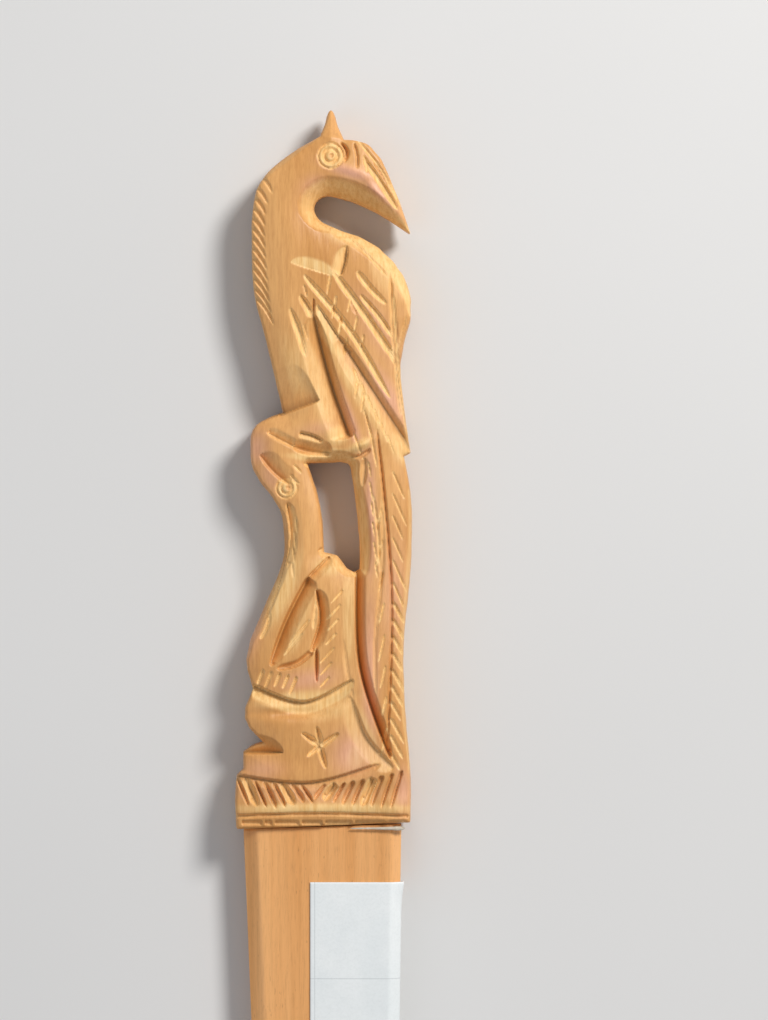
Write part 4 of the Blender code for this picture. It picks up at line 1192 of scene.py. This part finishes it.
def make_blade(left, right, left_top, right_top):
    """The blade as a loft along its length, from the slanting shoulder to the point."""
    rings = []
    low = BLADE_LOW.y + 0.02
    top = max(left_top, right_top) + BLADE_REACH
    for step in range(BLADE_ROWS + 1):
        share = step / BLADE_ROWS
        y = top + (low - top) * share
        a, b = left(y), right(y)
        across = a + (b - a) * (0.5 - 0.5 * np.cos(np.linspace(0, math.pi, BLADE_COLUMNS)))
        slant = (right_top - left_top) * max(0.0, 1 - share * 10)
        shift = slant * (across - b) / (b - a)
        upper = [(x, y + d, MIDDLE + blade_height(x, y, a, b)) for x, d in zip(across, shift)]
        under = [(x, d, 2 * MIDDLE - z) for x, d, z in reversed(upper)]
        rings.append(np.array(upper + under))
    return closed_loft(rings)


def label_section(y, left, right):
    """The line the label follows across the blade: over the front, round the right edge, onto the back."""
    b = right(y)
    front = [(x, blade_height(x, y, left(y), b)) for x in np.linspace(LABEL_LOW.x, b, LABEL_COLUMNS)]
    back = [(x, -blade_height(x, y, left(y), b)) for x in np.linspace(b, b - LABEL_BACK, LABEL_COLUMNS)]
    return np.array(front + back)


def make_label(left, right):
    """A paper sheet that hugs the blade, with its upper right corner turned out a little."""
    rings = []
    for step in range(LABEL_ROWS + 1):
        y = LABEL_HIGH.y + (LABEL_LOW.y - LABEL_HIGH.y) * step / LABEL_ROWS
        line = label_section(y, left, right)
        along = np.gradient(line, axis=0)
        normal = np.column_stack((-along[:, 1], along[:, 0])) / np.hypot(*along.T)[:, None]
        near_edge = np.exp(-((line[:, 0] - right(y)) / 0.8) ** 2)
        lift = 0.35 * near_edge * math.exp(-((y - LABEL_HIGH.y) / 2.0) ** 2)
        cockle = 0.02 * np.array([1 + noise.noise(Vector((x * 0.4, y * 0.3, z))) for x, z in line])
        inner = line + normal * (PAPER_GAP + cockle + lift)[:, None]
        outer = inner + normal * PAPER_THICKNESS
        section = np.vstack((outer, inner[::-1]))
        places = np.column_stack((section[:, 0], np.full(len(section), y), MIDDLE + section[:, 1]))
        rings.append(places)
    points, triangles = closed_loft_open_ends(rings)
    return points, triangles


def closed_loft_open_ends(rings):
    """Like closed_loft for a folded sheet, whose ends are strips between its two sides and not fans."""
    count = len(rings[0])
    points = np.vstack(rings)
    triangles = []
    for row in range(len(rings) - 1):
        for k in range(count):
            ahead = (k + 1) % count
            a, b = row * count + k, row * count + ahead
            triangles += [(a, b, b + count), (a, b + count, a + count)]
    for first in (0, len(points) - count):
        for k in range(count // 2 - 1):
            a, b, c, d = (first + i for i in (k, k + 1, count - 2 - k, count - 1 - k))
            triangles += [(a, c, b), (a, d, c)]
    return points, triangles


def make_glue():
    """A squeezed-out line of glue along the collar, growing towards the blade's corner."""
    rings = []
    low, high = np.array(GLUE_LOW), np.array(GLUE_HIGH)
    for step in range(GLUE_STEPS + 1):
        share = step / GLUE_STEPS
        x = low[0] + (high[0] - low[0]) * share
        drop = max(0.0, share - 0.78) / 0.22
        radius = 0.12 + 0.26 * share**2
        radius *= math.sqrt(max(0.02, min(1.0, share * 12, (1 - share) * 9)))
        radius *= 1 + 0.25 * noise.noise(Vector((x * 1.7, 2.0, 5.0)))
        y = (low[1] + high[1]) / 2
        z = high[2] - 0.42 - 1.0 * drop * drop
        turn = np.linspace(0, 2 * math.pi, GLUE_SIDES, endpoint=False)
        ring = np.column_stack((np.full(GLUE_SIDES, x), y + radius * np.cos(turn), z + radius * np.sin(turn)))
        rings.append(ring)
    return closed_loft(rings)


def use_material(item, material):
    """Give an object one material."""
    item.data.materials.clear()
    item.data.materials.append(material)


def show(piece, material, node):
    """Give a piece its material and let it stand for a CAD node."""
    use_material(piece, material)
    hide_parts(node)
    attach(piece, "root")


# ---------------------------------------------------------------- stage


def make_stage():
    """Floor, soft lights, a dim world light and the view transform; the camera is made in make_camera."""
    low, high = CAD_BOX
    bpy.ops.mesh.primitive_plane_add(size=4.0, location=(0, (low.y + high.y) / 2, low.z - 0.00002))
    floor = bpy.context.active_object
    floor.name = "floor"
    floor.data.materials.append(pale_floor())

    def lamp(name, place, target, size, power, colour):
        data = bpy.data.lights.new(name, "AREA")
        data.shape = "DISK"
        data.size = size
        data.energy = power
        data.color = colour
        item = bpy.data.objects.new(name, data)
        item.location = place
        item.rotation_euler = (Vector(target) - Vector(place)).to_track_quat("-Z", "Y").to_euler()
        bpy.context.scene.collection.objects.link(item)

    target = (0.0, 0.05, 0.0)
    lamp("key", (0.42, 0.47, 0.54), target, 0.25, 5.6, (1.0, 0.985, 0.96))
    lamp("fill", (-0.5, -0.2, 0.6), target, 0.8, 1.0, (0.95, 0.97, 1.0))
    world = bpy.data.worlds.new("studio")
    world.use_nodes = True
    world.node_tree.nodes["Background"].inputs["Color"].default_value = (0.93, 0.95, 1.0, 1.0)
    world.node_tree.nodes["Background"].inputs["Strength"].default_value = 0.29
    bpy.context.scene.world = world
    bpy.context.scene.view_settings.view_transform = "Standard"


# The camera sees this much of the knife's plane: width, then height, at an image of 768 x 1020
VIEW_WIDTH = 115.2
VIEW_HEIGHT = VIEW_WIDTH * 1020 / 768
VIEW_CENTRE = (9.1, 47.9)
CAMERA_DISTANCE = 1000.0


def make_camera():
    """A camera above the handle, looking straight down."""
    data = bpy.data.cameras.new("camera")
    data.sensor_width = 36.0
    data.lens = data.sensor_width / 2 * CAMERA_DISTANCE / (VIEW_HEIGHT / 2)
    data.clip_start = 0.01
    item = bpy.data.objects.new("camera", data)
    item.location = (VIEW_CENTRE[0] * MM, VIEW_CENTRE[1] * MM, (TOP - 1.0 + CAMERA_DISTANCE) * MM)
    bpy.context.scene.collection.objects.link(item)
    bpy.context.scene.camera = item


def main():
    """Build every visible piece, the stage and the camera."""
    loops = [thinned(without_socket(loop)) for loop in slice_loops("carved_handle", MIDDLE + 0.06)]
    loops.sort(key=lambda loop: -abs(area(loop)))
    loops = loops[:2]
    outer, window = (smooth_loop(loop, OUTLINE_STEP) for loop in loops)
    if area(outer) > 0:
        outer.reverse()
    if area(window) < 0:
        window.reverse()
    outline = Outline([outer, window])
    points, tones, triangles = make_handle(outline, [outer, window], landmarks([outer, window]))
    show(mesh_object("carved_handle_fine", points, triangles, tones), carved_wood(), "carved_handle")

    blade_loop = max(slice_loops("blade", MIDDLE + 0.06), key=lambda loop: abs(area(loop)))
    left, right, left_top, right_top = blade_edges(blade_loop)
    blade = mesh_object("blade_fine", *make_blade(left, right, left_top, right_top))
    show(blade, blade_wood(), "blade")
    show(mesh_object("label_sheet", *make_label(left, right)), label_paper(), "paper_label")
    show(mesh_object("glue_line", *make_glue()), clear_glue(), "glue_bead")
    make_stage()
    make_camera()


main()
